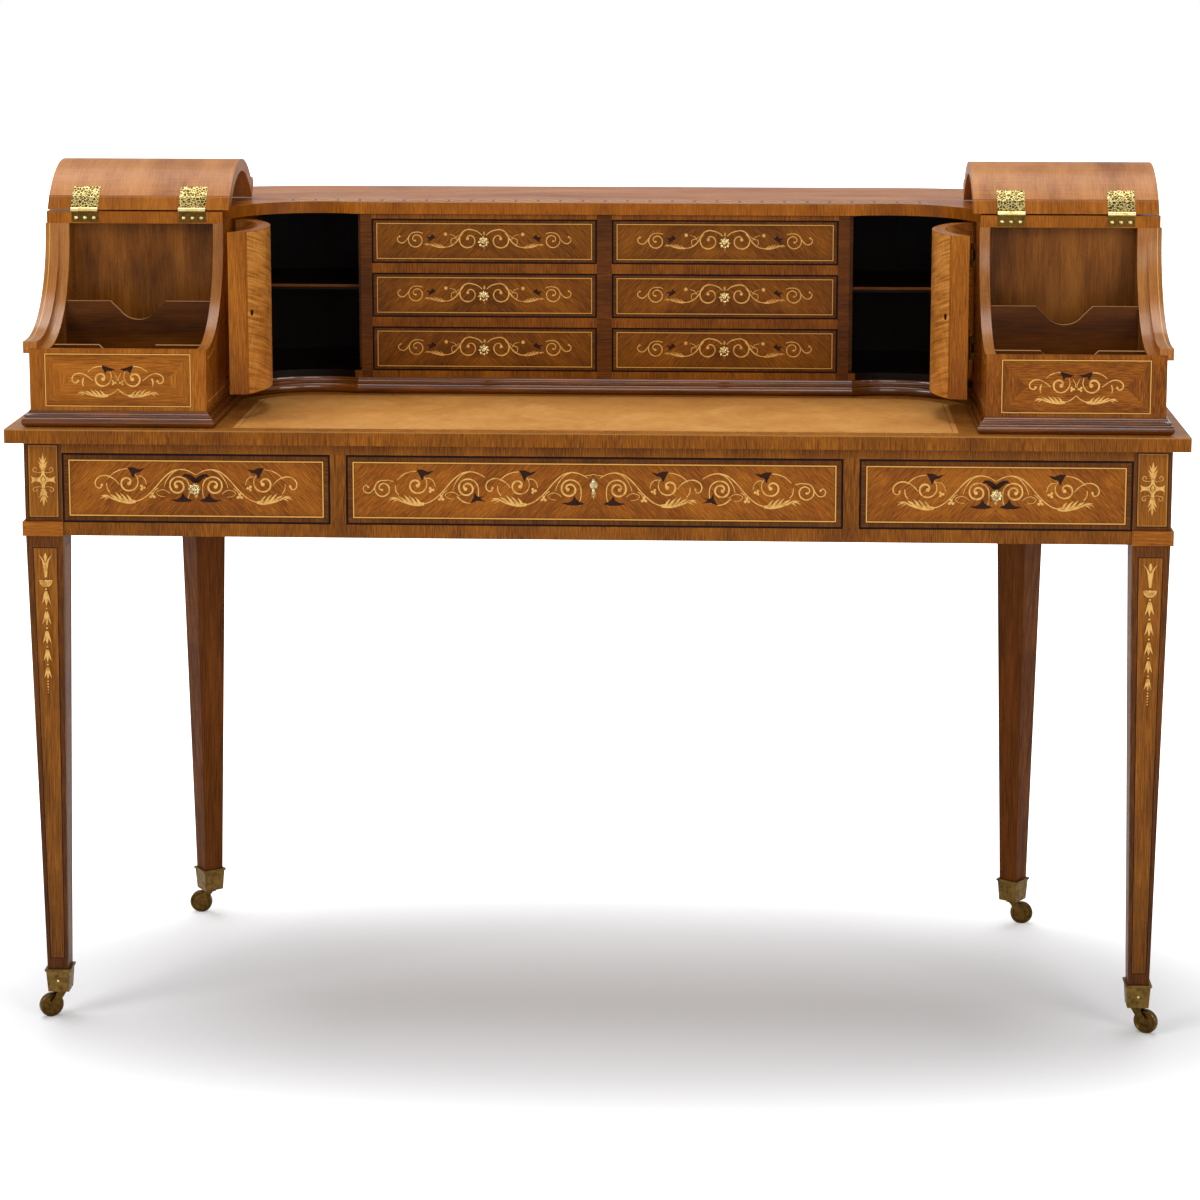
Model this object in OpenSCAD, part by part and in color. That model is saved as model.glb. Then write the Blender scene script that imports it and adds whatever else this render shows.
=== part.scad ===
// Carlton house desk: a D-shaped writing table on four tapered legs with casters.
// A stepped gallery stands on the top: two sloped letter towers with curved lids,
// two cupboards with curved doors, and six small drawers between them.
// Inside the modules Y is measured back from the front edge of the top, and the
// modules draw the left side; the right side is its mirror image.

/* [Top] */
// Width of the writing top
top_w = 1480; // [1460:1:1540]
// Depth of the writing top, front edge to back
top_d = 580; // [575:1:620]
// Thickness of the writing top
top_t = 18; // [14:1:22]
// Height of the writing surface above the floor
top_h = 780; // [740:1:800]
// Radius of the two rounded back corners
corner_r = 340; // [325:1:342]
// Overhang of the top beyond the frieze
overhang = 20; // [19:1:24]
// Thickness of the leather inset
leather_t = 2; // [1:0.5:3]
// Width of the crossband along the front of the leather
leather_front = 23; // [15:1:40]
// Width of the crossband between the leather and the moulding behind it
leather_back_gap = 14; // [10:1:20]
// Width of the crossband between the leather and the towers
leather_side_gap = 22; // [16:1:30]

/* [Frieze] */
// Height of the rail above the frieze drawers
top_rail_h = 15; // [12:1:18]
// Height of the frieze drawer openings
frieze_open_h = 89; // [80:1:95]
// Height of the rail below the frieze drawers
low_rail_h = 17; // [14:1:22]
// Depth of the front rails and stiles, front to back
rail_d = 22; // [18:1:26]
// Width of the side drawer openings
side_drawer_w = 340; // [300:1:360]
// Width of the stiles between the frieze drawers
stile_w = 20; // [16:1:28]
// Depth of the frieze drawers, front to back
frieze_drawer_d = 320; // [280:1:325]
// Thickness of the curved apron
apron_t = 20; // [16:1:24]
// Width of the drawer runners and kickers
runner_w = 24; // [18:1:30]
// Height of the drawer runners
runner_h = 14; // [10:1:14]

/* [Legs] */
// Width of the square posts at the frieze
post_w = 48; // [44:1:52]
// Width of the legs where they enter the toe cups
ankle_w = 27; // [25:1:32]
// Height of the collar on each post
collar_h = 18; // [12:1:24]
// How far the collar stands out from the post
collar_out = 3.5; // [2:0.5:4.5]
// Direction of the back legs, measured from the side towards the back, in degrees
back_leg_angle = 54.5; // [50:0.5:58]

/* [Casters] */
// Radius of the caster wheels
wheel_r = 15.5; // [14:0.5:18]
// Width of the caster wheels
wheel_w = 9; // [8:0.5:12]
// Radius of the wheel axles
axle_r = 2; // [1.5:0.1:2.5]
// Trail of the casters: how far the axle lies behind the stem
trail = 13; // [11:0.5:15]
// Height of the toe cups
cup_h = 31; // [28:1:40]
// Wall of the toe cups
cup_wall = 2; // [1.5:0.1:3]
// Radius of the caster stems
stem_r = 4; // [3:0.5:5]
// Turn of the front casters from the width of the desk, in degrees
front_caster_turn = 30; // [0:5:60]

/* [Towers] */
// Width of each letter tower
tower_w = 223.5; // [220:0.5:236]
// Setback of the tower fronts from the front edge of the top
tower_front = 25; // [24:1:28]
// Inset of the tower sides and gallery back from the edge of the top
case_inset = 29; // [27:1:33]
// Height of the tower fronts above the writing surface
tower_front_h = 98; // [94:1:102]
// Thickness of the tower fronts and inner cheeks
case_t = 13; // [11:1:15]
// Thickness of the outer cheeks
outer_cheek_t = 23; // [21:1:26]
// Thickness of the backs of the letter spaces
letter_back_t = 10; // [8:1:12]
// Setback of the fronts of those backs from the front edge of the top
letter_back_y = 209; // [204:1:216]
// Thickness of the letter partitions
partition_t = 7; // [5:1:9]
// Setback of the front partition
front_partition_y = 64; // [58:1:76]
// Setback of the rear partition
rear_partition_y = 146; // [138:1:149]
// Half width of the scoop in each partition
scoop_half_w = 36; // [32:1:40]
// Width of the raised band on each outer cheek
band_w = 17.5; // [16:0.5:19]
// Thickness of the raised band
band_t = 15; // [12:1:18]

/* [Gallery] */
// Height of the gallery above the writing surface
gallery_h = 257; // [250:1:262]
// Thickness of the gallery top board
gallery_top_t = 15.5; // [14:0.5:18]
// Setback of the front edge of the top board over the towers
tower_rail_y = 178; // [176:1:182]
// How far the top board stands out past the tower sides
top_board_out = 6; // [4:1:8]
// How far the top board stands in past the inner sides of the towers
top_board_in = 11.5; // [10:0.5:14]
// Setback of the small drawer fronts
gallery_front_y = 321; // [319:1:324]
// How far the top board stands out over the small drawers
gallery_top_lip = 5; // [4:1:7]
// Thickness of the curved back wall
back_wall_t = 14; // [12:1:16]
// Half width of the centre partition
centre_half_w = 10; // [8:1:12]
// Width between each tower and the small drawers, for a cupboard and its stile
cupboard_w = 176.5; // [172:0.5:180]
// Width of the stiles beside the cupboards
cupboard_stile_w = 15; // [13:1:16]
// Thickness of the partitions beside the cupboards
cupboard_wall_t = 20; // [18:1:21]
// Thickness of the boards between the small drawers
dust_board_t = 13; // [11:1:15]
// Thickness of the gallery floor
gallery_floor_t = 30; // [26:1:34]
// Height of the rail above the top small drawers
gallery_rail_h = 7; // [5:1:9]
// Space behind the small drawers
small_drawer_back = 16; // [8:1:40]
// Thickness of the cupboard shelves
shelf_t = 7; // [5:1:9]
// Height of the base moulding
base_h = 20.5; // [18:0.5:24]
// Projection of the base moulding
base_out = 10; // [8:0.5:12]

/* [Doors and lids] */
// Radius of the hollow outer face of the cupboard doors
door_r = 120; // [119:0.5:121]
// Thickness of the cupboard doors
door_t = 16.5; // [15:0.5:17.5]
// Angle through which the doors stand open
door_open = 105; // [100:1:106]
// Thickness of the lids
lid_t = 16; // [13:1:18]
// Angle through which the lids stand open
lid_open = 223; // [223:0.5:224]
// Distance from each end of a lid to the middle of its hinge
lid_hinge_in = 48; // [40:1:60]
// Width of the lid hinges
lid_hinge_w = 35; // [30:1:40]
// Height of the door hinges
door_hinge_h = 30; // [24:1:36]
// Radius of the hinge knuckles
knuckle_r = 3; // [2.8:0.1:3]
// Radius of the hinge pins
pin_r = 1.2; // [1:0.1:1.4]

/* [Drawers and knobs] */
// Thickness of the frieze drawer fronts
frieze_front_t = 18; // [15:1:20]
// Thickness of the small drawer fronts
small_front_t = 12; // [10:1:14]
// Thickness of the drawer sides and backs
drawer_side_t = 9; // [7:1:10]
// Thickness of the drawer bottoms
drawer_bottom_t = 5; // [4:1:6]
// Radius of the drawer knobs
knob_r = 8; // [7:0.5:9]
// Length of the drawer knobs
knob_len = 17; // [14:0.5:18]
// Length of the door knobs
door_knob_len = 12.5; // [10:0.5:13]
// Radius of the key shank
key_r = 2.4; // [2:0.1:2.6]

/* [Clearances] */
// Glue line between boards
glue = 0.1; // [0.1:0.05:0.2]
// Gap round the leather in its recess
leather_gap = 0.05; // [0.03:0.01:0.1]
// Gap round a drawer front in its opening
front_gap = 0.8; // [0.5:0.1:1.2]
// Gap between a drawer and what it runs on
run_gap = 0.3; // [0.2:0.1:0.5]
// Radial clearance of pins and stems in their bores
pin_gap = 0.05; // [0.03:0.01:0.08]
// Gap between curved faces that pass each other
curve_gap = 1; // [0.6:0.1:1.2]

/* [Hidden] */

$fn = 96;
left = -1;
right = 1;

// Frieze levels and the places of its openings
frieze_h = top_rail_h + frieze_open_h + low_rail_h;
top_under = top_h - top_t;
frieze_z = top_under - frieze_h;
open_z = frieze_z + low_rail_h;
post_x = top_w / 2 - overhang - post_w;
centre_open_x = post_x - side_drawer_w - stile_w;
corner_x = top_w / 2 - corner_r;
corner_y = top_d - corner_r;
bearer_y = overhang + frieze_drawer_d + 4;
bearer_t = 20;
guide_t = 10;

// Legs and casters
cup_z = 2 * wheel_r + 4;
cup_floor_t = 6;
leg_end_z = cup_z + cup_floor_t;
ankle_z = cup_z + cup_h;
leg_slope = (post_w - ankle_w) / (frieze_z - ankle_z);
leg_end_w = ankle_w - leg_slope * (ankle_z - leg_end_z);
collar_drop = 0.6;
front_leg = [top_w / 2 - overhang - post_w / 2, overhang + post_w / 2, 0];
back_leg_r = corner_r - overhang - post_w / 2;
back_leg = [
    corner_x + back_leg_r * cos(back_leg_angle),
    corner_y + back_leg_r * sin(back_leg_angle),
    0
];
stem_head_r = stem_r + 1.6;
stem_head_t = 3;
fork_plate_t = 2.4;
fork_side_gap = 0.5;
fork_top = cup_z - 0.4;

// Gallery levels
gallery_top_z = top_h + gallery_h;
gallery_under = gallery_top_z - gallery_top_t;
floor_z = top_h + gallery_floor_t;
row_h = (gallery_under - gallery_rail_h - floor_z - 2 * dust_board_t) / 3;
tower_out_x = top_w / 2 - case_inset;
tower_in_x = tower_out_x - tower_w;
tower_top_z = top_h + tower_front_h;
cheek_front_y = tower_front + case_t;
case_back_y = top_d - case_inset;
wall_r = corner_r - case_inset;
inner_wall_r = wall_r - back_wall_t;
small_drawers_x = tower_in_x - cupboard_w;
small_drawer_w = small_drawers_x - centre_half_w;
small_drawer_d = case_back_y - back_wall_t - gallery_front_y - small_drawer_back;
cupboard_in_x = small_drawers_x + cupboard_wall_t;
letter_out_x = tower_out_x - outer_cheek_t;
letter_in_x = tower_in_x + case_t;
letter_floor_t = 10;
letter_floor_z = top_h + base_h + 5;

// Slope of the cheeks: a quarter round from the rail down to the top of the front
slope_z = gallery_under - 9.5;
slope_r = slope_z - tower_top_z;
slope_y = tower_rail_y - slope_r;
band_r = slope_r;
band_z = gallery_under;
band_in_x = tower_out_x - 9.5;
band_out_x = band_in_x + band_w;

// Lids, drawn closed round their hinge axis and then turned open
lid_r = band_r - curve_gap;
lid_end_x = tower_out_x + top_board_out - 2;
lid_start_x = tower_in_x - top_board_in + 3;
lid_front_y = tower_front + 2;
lid_axis_y = tower_rail_y - 3.8;
lid_axis_z = gallery_top_z + 2.5;
lid_fold_y = slope_y + lid_r;
lid_outer_y = lid_fold_y - lid_t;
lid_cut_z = lid_axis_z - (lid_axis_y - lid_outer_y) * tan(lid_open - 180);
lid_lip_t = 12;
leaf_t = 1.2;
leaf_proud = 0.4;
leaf_arc = 8;
knuckle_gap = 0.3;
moving_knuckle = 0.42;
facet_len = sqrt(pow(lid_fold_y - lid_axis_y, 2) + pow(lid_axis_z - band_z, 2));
facet_u = [(lid_fold_y - lid_axis_y) / facet_len, (band_z - lid_axis_z) / facet_len];
facet_n = [-facet_u[1], facet_u[0]];

// Cupboard doors, drawn closed and then turned open about their hinge axis
door_axis = [tower_in_x - 3.5, 262];
door_centre_y = 209.3;
door_stop_x = small_drawers_x + cupboard_stile_w;
door_end_x = door_stop_x + 2;
door_bevel = 8.5;
door_centre = [
    sqrt(pow(door_r, 2) - pow(door_axis[1] - door_centre_y, 2)) - door_axis[0],
    door_centre_y
];
door_z = floor_z + 1;
door_top_z = gallery_under - 2.5;
door_knob_z = (door_z + door_top_z) / 2;
door_knob_r = 6.5;
door_knob_turn = 10.5;
stop_y = 340;
floor_edge_r = door_r;
top_edge_r = door_r - 4;
shelf_y = door_centre[1] + door_r + door_t + 4;
top_curve_x = -door_centre[0]
    - sqrt(pow(top_edge_r, 2) - pow(gallery_front_y - gallery_top_lip - door_centre[1], 2));
shelf_z = (floor_z + gallery_under) / 2;

// Leather outline
leather_x = tower_in_x - base_out - leather_side_gap;
leather_back_y = gallery_front_y - base_out - leather_back_gap;
leather_arc_r = leather_back_y - door_centre_y + 0.5;

// Lock and key of the centre drawer
key_z = open_z + frieze_open_h * 0.6;
key_bow_r = 6.4;
key_bow_t = 3;
lock_w = 52;
lock_h = 38;
lock_t = 10;
lock_wall = 2.5;
bit_r = 7.5;

wood = "#b9772f";
dark_wood = "#5a2a16";
inside_wood = "#7a4520";
leather = "#c08a45";
brass = "#c9a227";

// Moves what is measured from the front edge of the top to the desk's own origin
module placed() {
    translate([0, -top_d / 2, 0]) children();
}

// Draws a left-hand piece on the given side, on the desk's own origin
module on_side(side) {
    placed() mirror([side == right ? 1 : 0, 0, 0]) children();
}

// A board given by its low and high corners
module board(low, high) {
    translate(low) cube(high - low);
}

// Extrudes a (Y, Z) outline along X
module along_x(x0, x1) {
    translate([x0, 0, 0]) rotate([90, 0, 90]) linear_extrude(height = x1 - x0) children();
}

// Extrudes an (X, Z) outline along Y
module along_y(y0, y1) {
    translate([0, y1, 0]) rotate([90, 0, 0]) linear_extrude(height = y1 - y0) children();
}

// Outline of the top, drawn in from its sides and back
module d_plan(inset, front_y) {
    r = corner_r - inset;
    translate([-corner_x - r, front_y]) square([2 * (corner_x + r), corner_y - front_y]);
    translate([-corner_x, front_y]) square([2 * corner_x, corner_y + r - front_y]);
    for (side = [left, right])
        intersection() {
            translate([side * corner_x, corner_y]) circle(r = r);
            translate([-top_w, corner_y]) square([2 * top_w, top_d]);
        }
}

// Segments of a wall round a left back corner, from the side (0) towards the back (90)
module corner_wall(r_out, t, z, h, from, to, count) {
    step = (to - from) / count;
    gap = glue / r_out * 180 / PI;
    for (i = [0 : count - 1])
        translate([-corner_x, corner_y, z])
            rotate([0, 0, 180 - from - (i + 1) * step])
                rotate_extrude(angle = step - gap)
                    translate([r_out - t, 0]) square([t, h]);
}

// Plan of the leather, which follows the curved cupboard fronts at the back
module leather_plan(gap) {
    intersection() {
        translate([-leather_x - gap, leather_front - gap])
            square([2 * (leather_x + gap), leather_back_y - leather_front + 2 * gap]);
        union() {
            translate([door_centre[0], 0]) square([-2 * door_centre[0], top_d]);
            translate([-top_w / 2, 0]) square([top_w, leather_corner_y(gap)]);
            for (side = [0, 1])
                mirror([side, 0]) translate(door_centre) circle(r = leather_arc_r + gap);
        }
    }
}

// Where the straight side of the leather meets its curved corner
function leather_corner_y(gap) =
    door_centre[1] + sqrt(pow(leather_arc_r + gap, 2) - pow(-leather_x - gap - door_centre[0], 2));

module tabletop() {
    color(wood)
        placed()
            difference() {
                translate([0, 0, top_under]) linear_extrude(height = top_t) d_plan(0, 0);
                translate([0, 0, top_h - leather_t])
                    linear_extrude(height = 2 * leather_t) leather_plan(leather_gap);
            }
}

module leather_inset() {
    color(leather)
        placed()
            translate([0, 0, top_h - leather_t]) linear_extrude(height = leather_t) leather_plan(0);
}

module frieze_frame() {
    rail_x = post_x - glue;
    back = overhang + rail_d;
    color(wood)
        placed() {
            board([-rail_x, overhang, top_under - top_rail_h], [rail_x, back, top_under]);
            board([-rail_x, overhang, frieze_z], [rail_x, back, open_z]);
            for (side = [0, 1])
                mirror([side, 0, 0])
                    board(
                        [-centre_open_x - stile_w, overhang, open_z + glue],
                        [-centre_open_x, back, open_z + frieze_open_h - glue]
                    );
        }
}

// The apron stops each side of the back legs, whose posts stand in it
module apron() {
    r = corner_r - overhang;
    post_turn = asin(post_w / 2 / (r - apron_t)) + 0.05;
    color(wood)
        for (side = [left, right])
            on_side(side) {
                board(
                    [-corner_x - r, overhang + post_w + glue, frieze_z],
                    [-corner_x - r + apron_t, corner_y, top_under]
                );
                corner_wall(r, apron_t, frieze_z, frieze_h, 0, back_leg_angle - post_turn, 3);
                corner_wall(r, apron_t, frieze_z, frieze_h, back_leg_angle + post_turn, 90, 2);
                board(
                    [-corner_x + glue, corner_y + r - apron_t, frieze_z],
                    [-glue / 2, corner_y + r, top_under]
                );
            }
}

// Runners, guides and kickers of the frieze drawers, and the bearer behind them
module drawer_runners() {
    front = overhang + rail_d + glue;
    back = bearer_y - glue;
    guide_x = post_x + 1.2;
    inner_x = centre_open_x + stile_w;
    color(inside_wood)
        for (side = [left, right])
            on_side(side) {
                // Outer runner and kicker of a side drawer
                for (z = [open_z - runner_h, open_z + frieze_open_h + glue])
                    board([-post_x + glue, front, z], [-post_x + runner_w, back, z + runner_h]);
                // Shared runner and kicker between a side drawer and the centre drawer
                for (z = [open_z - runner_h, open_z + frieze_open_h + glue])
                    board([-inner_x - runner_w, front, z], [-centre_open_x + runner_w, back, z + runner_h]);
                // Guide between the drawers
                board([-inner_x, front, open_z + glue], [-centre_open_x, back, open_z + frieze_open_h]);
                // Guide behind the front post and half of the bearer, cut to the curve of the apron
                intersection() {
                    union() {
                        board(
                            [-guide_x - guide_t, overhang + post_w + glue, open_z - runner_h],
                            [-guide_x, back, open_z + frieze_open_h / 2]
                        );
                        board(
                            [-top_w / 2, bearer_y, open_z - runner_h],
                            [-glue / 2, bearer_y + bearer_t, top_under - glue]
                        );
                    }
                    linear_extrude(height = top_h) d_plan(overhang + apron_t + 0.3, 0);
                }
            }
}

// A square taper with a vertical axis, from a bottom width to a high width
module square_taper(bottom_w, bottom_z, high_w, high_z) {
    outline = [
        [-bottom_w / 2, bottom_z], [bottom_w / 2, bottom_z],
        [high_w / 2, high_z], [-high_w / 2, high_z]
    ];
    intersection() {
        along_y(-high_w, high_w) polygon(outline);
        along_x(-high_w, high_w) polygon(outline);
    }
}

// Side outline of a leg: a taper below its square post
module leg_outline() {
    polygon([
        [-leg_end_w / 2, leg_end_z], [leg_end_w / 2, leg_end_z],
        [post_w / 2, frieze_z], [post_w / 2, top_under],
        [-post_w / 2, top_under], [-post_w / 2, frieze_z]
    ]);
}

// A leg on its own axis; the faces that show stand towards -X and, on a front leg, -Y
module leg_shape(corner) {
    half = post_w / 2;
    difference() {
        union() {
            intersection() {
                along_y(-post_w, post_w) leg_outline();
                along_x(-post_w, post_w) leg_outline();
            }
            board(
                [-half - collar_out, -half - (corner ? collar_out : 0), frieze_z - collar_drop],
                [half, half, frieze_z + collar_h]
            );
        }
        translate([0, 0, leg_end_z - 1]) cylinder(r = stem_head_r + 1, h = stem_head_t + 5);
    }
}

// Puts a child that stands on a leg axis onto the left front or left back leg
module at_leg(back) {
    place = back ? back_leg : front_leg;
    translate([-place[0], place[1], 0]) children();
}

module leg(back, side) {
    color(wood)
        on_side(side)
            at_leg(back)
                rotate([0, 0, back ? -back_leg_angle : 0]) leg_shape(!back);
}

// Brass cup round the foot of a leg, bored for the caster stem
module toe_cup() {
    lip = 1.2;
    lip_h = 3;
    fit = 0.15;
    width_at = ankle_w + 2 * fit;
    difference() {
        union() {
            square_taper(leg_end_w + 1, cup_z, width_at + 2 * cup_wall, ankle_z);
            board(
                [-width_at / 2 - cup_wall - lip, -width_at / 2 - cup_wall - lip, ankle_z - lip_h],
                [width_at / 2 + cup_wall + lip, width_at / 2 + cup_wall + lip, ankle_z]
            );
        }
        square_taper(
            leg_end_w + 2 * fit,
            leg_end_z,
            leg_end_w + 2 * fit + leg_slope * (cup_h + 1),
            leg_end_z + cup_h + 1
        );
        translate([0, 0, cup_z - 1]) cylinder(r = stem_r + pin_gap, h = cup_floor_t + 2);
    }
}

module toe_cups() {
    color(brass)
        for (side = [left, right])
            for (back = [false, true])
                on_side(side)
                    at_leg(back)
                        rotate([0, 0, back ? -back_leg_angle : 0]) toe_cup();
}

// Turns a caster about its stem: its wheel trails towards -X before the turn
module at_caster(back, side) {
    on_side(side)
        at_leg(back)
            rotate([0, 0, back ? 0 : front_caster_turn]) children();
}

module caster_fork(back, side) {
    inner = wheel_w / 2 + fork_side_gap;
    crown_t = fork_top - 2 * wheel_r - 0.8;
    color(brass)
        at_caster(back, side) {
            translate([0, 0, fork_top - crown_t]) cylinder(r = inner + fork_plate_t + 1.5, h = crown_t);
            translate([0, 0, fork_top - crown_t])
                cylinder(r = stem_r, h = leg_end_z + stem_head_t - fork_top + crown_t);
            translate([0, 0, leg_end_z + 0.3]) cylinder(r = stem_head_r, h = stem_head_t);
            for (face = [-inner - fork_plate_t, inner])
                hull() {
                    translate([-trail, face, wheel_r])
                        rotate([-90, 0, 0]) cylinder(r = axle_r + 3, h = fork_plate_t, $fn = 32);
                    translate([-5, face, fork_top - crown_t]) cube([10, fork_plate_t, crown_t]);
                }
            translate([-trail, -inner - fork_plate_t - 1, wheel_r])
                rotate([-90, 0, 0]) cylinder(r = axle_r, h = 2 * (inner + fork_plate_t + 1));
        }
}

module caster_wheel(back, side) {
    edge = 1.5;
    dish = 1;
    hub_r = axle_r + 3;
    half = wheel_w / 2;
    bore = axle_r + pin_gap;
    color(brass)
        at_caster(back, side)
            translate([-trail, 0, wheel_r])
                rotate([90, 0, 0])
                    rotate_extrude()
                        polygon([
                            [bore, -half], [hub_r, -half], [hub_r + dish, dish - half],
                            [wheel_r - 2 * edge - dish, dish - half], [wheel_r - 2 * edge, -half],
                            [wheel_r - edge, -half], [wheel_r, edge - half],
                            [wheel_r, half - edge], [wheel_r - edge, half],
                            [wheel_r - 2 * edge, half], [wheel_r - 2 * edge - dish, half - dish],
                            [hub_r + dish, half - dish], [hub_r, half], [bore, half]
                        ]);
}

// A dovetailed drawer for an opening of the given size, its front flush with Y = 0
module drawer(w, h, d, front_t, side_h) {
    x0 = front_gap + 0.4;
    x1 = w - x0;
    bottom_z = run_gap + 3;
    board([front_gap, 0, front_gap], [w - front_gap, front_t, h - front_gap]);
    for (x = [x0, x1 - drawer_side_t])
        board(
            [x, front_t + glue, run_gap],
            [x + drawer_side_t, d - drawer_side_t - glue, run_gap + side_h]
        );
    board([x0, d - drawer_side_t, bottom_z], [x1, d, run_gap + side_h]);
    board(
        [x0 + drawer_side_t + glue, front_t + glue, bottom_z],
        [x1 - drawer_side_t - glue, d - drawer_side_t - glue, bottom_z + drawer_bottom_t]
    );
}

module frieze_drawer(x, w) {
    color(wood)
        placed()
            translate([x, overhang, open_z])
                drawer(w, frieze_open_h, frieze_drawer_d, frieze_front_t, frieze_open_h - 12);
}

module frieze_drawer_centre() {
    difference() {
        frieze_drawer(-centre_open_x, 2 * centre_open_x);
        placed()
            translate([0, overhang - 1, key_z])
                rotate([-90, 0, 0]) cylinder(r = key_r + 0.6, h = frieze_front_t + 2);
    }
}

// A turned brass knob standing on a face, pointing along +Z
module knob_shape(r, len) {
    rotate_extrude()
        difference() {
            union() {
                square([r * 0.72, 1.2]);
                translate([0, 1]) square([r * 0.34, len * 0.5]);
                intersection() {
                    translate([0, len - r * 0.8]) circle(r = r);
                    translate([0, len * 0.38]) square([r, len * 0.62]);
                }
            }
            translate([-r, 0]) square([r, len + r]);
            translate([0, len]) square([r, r]);
        }
}

module frieze_knob(side) {
    color(brass)
        on_side(side)
            translate([-post_x + side_drawer_w / 2, overhang, open_z + frieze_open_h * 0.52])
                rotate([90, 0, 0]) knob_shape(knob_r, knob_len);
}

// Lock case behind the centre drawer front, and the ring round its keyhole
module drawer_lock() {
    case_y = overhang + frieze_front_t;
    color(brass)
        placed() {
            difference() {
                board([-lock_w / 2, case_y, key_z - lock_h / 2], [lock_w / 2, case_y + lock_t, key_z + lock_h / 2]);
                translate([0, case_y - 1, key_z])
                    rotate([-90, 0, 0]) cylinder(r = key_r + pin_gap, h = lock_t + 2);
                translate([0, case_y + lock_wall, key_z])
                    rotate([-90, 0, 0]) cylinder(r = bit_r + 0.6, h = lock_t - 2 * lock_wall);
            }
            translate([0, overhang, key_z])
                rotate([90, 0, 0])
                    difference() {
                        cylinder(r = key_r + 2.6, h = 0.6);
                        translate([0, 0, -1]) cylinder(r = key_r + 0.6, h = 3);
                    }
        }
}

// Key with a bow of two rings, its shank through the front into the lock
module drawer_key() {
    shank_y = overhang - 3.4;
    bit_t = lock_t - 2 * lock_wall - 1;
    case_y = overhang + frieze_front_t;
    color(brass)
        placed()
            translate([0, 0, key_z]) {
                translate([0, shank_y, 0])
                    rotate([-90, 0, 0]) cylinder(r = key_r, h = case_y + lock_t - 0.5 - shank_y);
                translate([0, shank_y - 1, 0])
                    rotate([-90, 0, 0]) cylinder(r = key_r + 1.2, h = 2.2);
                board([-1, case_y + lock_wall + 0.5, -bit_r], [1, case_y + lock_wall + 0.5 + bit_t, 0]);
                for (z = [1 - key_bow_r, key_bow_r - 1])
                    translate([-key_bow_t / 2, shank_y - key_bow_r, z])
                        rotate([0, 90, 0])
                            difference() {
                                cylinder(r = key_bow_r, h = key_bow_t);
                                translate([0, 0, -1]) cylinder(r = key_bow_r - 2.6, h = key_bow_t + 2);
                            }
            }
}

// Height of a row of small drawers: 0 is the bottom row
function row_z(row) = floor_z + row * (row_h + dust_board_t);

module gallery_drawer(side, row) {
    color(wood)
        on_side(side)
            translate([-small_drawers_x, gallery_front_y, row_z(row)])
                drawer(small_drawer_w, row_h, small_drawer_d, small_front_t, row_h - 10);
}

module gallery_knob(side, row) {
    color(brass)
        on_side(side)
            translate([-small_drawers_x + small_drawer_w / 2, gallery_front_y, row_z(row) + row_h / 2])
                rotate([90, 0, 0]) knob_shape(knob_r, knob_len);
}

// Plan of the part in front of the gallery top board
module top_board_cut() {
    in_x = tower_in_x - top_board_in;
    edge_y = gallery_front_y - gallery_top_lip;
    translate([-in_x, 0]) square([2 * in_x, top_edge_y(in_x)]);
    translate([-top_curve_x, 0]) square([2 * top_curve_x, edge_y]);
    for (side = [0, 1])
        mirror([side, 0]) translate(door_centre) circle(r = top_edge_r);
}

// Setback of the curved edge of the top board at a distance x from the centre line
function top_edge_y(x) = door_centre[1] + sqrt(pow(top_edge_r, 2) - pow(x + door_centre[0], 2));

module gallery_top() {
    color(wood)
        difference() {
            placed()
                translate([0, 0, gallery_under])
                    linear_extrude(height = gallery_top_t)
                        difference() {
                            d_plan(case_inset - top_board_out, tower_rail_y);
                            top_board_cut();
                        }
            for (side = [left, right])
                on_side(side)
                    for (x = lid_hinges_x())
                        board(
                            [x - lid_hinge_w / 2, tower_rail_y - 1, fixed_leaf_z()],
                            [x + lid_hinge_w / 2, fixed_leaf_back(), gallery_top_z + 1]
                        );
        }
}

module gallery_back() {
    color(wood)
        for (side = [left, right])
            on_side(side) {
                corner_wall(wall_r, back_wall_t, top_h, gallery_under - top_h, 0, 90, 4);
                board(
                    [-corner_x + glue, corner_y + inner_wall_r, top_h],
                    [-glue / 2, corner_y + wall_r, gallery_under]
                );
            }
}

module gallery_partitions() {
    back = corner_y + inner_wall_r - glue;
    color(wood)
        placed() {
            board([-centre_half_w, gallery_front_y, top_h], [centre_half_w, back, gallery_under]);
            for (side = [0, 1])
                mirror([side, 0, 0]) {
                    board(
                        [-door_stop_x, gallery_front_y, top_h],
                        [-small_drawers_x, stop_y - glue, gallery_under]
                    );
                    board([-cupboard_in_x, stop_y, top_h], [-small_drawers_x, back, gallery_under]);
                }
        }
}

module gallery_dust_boards() {
    back = corner_y + inner_wall_r - glue;
    color(wood)
        for (side = [left, right])
            on_side(side) {
                for (row = [1, 2])
                    board(
                        [-small_drawers_x + glue, gallery_front_y, row_z(row) - dust_board_t],
                        [-centre_half_w - glue, back, row_z(row)]
                    );
                board(
                    [-small_drawers_x + glue, gallery_front_y, gallery_under - gallery_rail_h],
                    [-centre_half_w - glue, gallery_front_y + rail_d, gallery_under]
                );
            }
}

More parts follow.
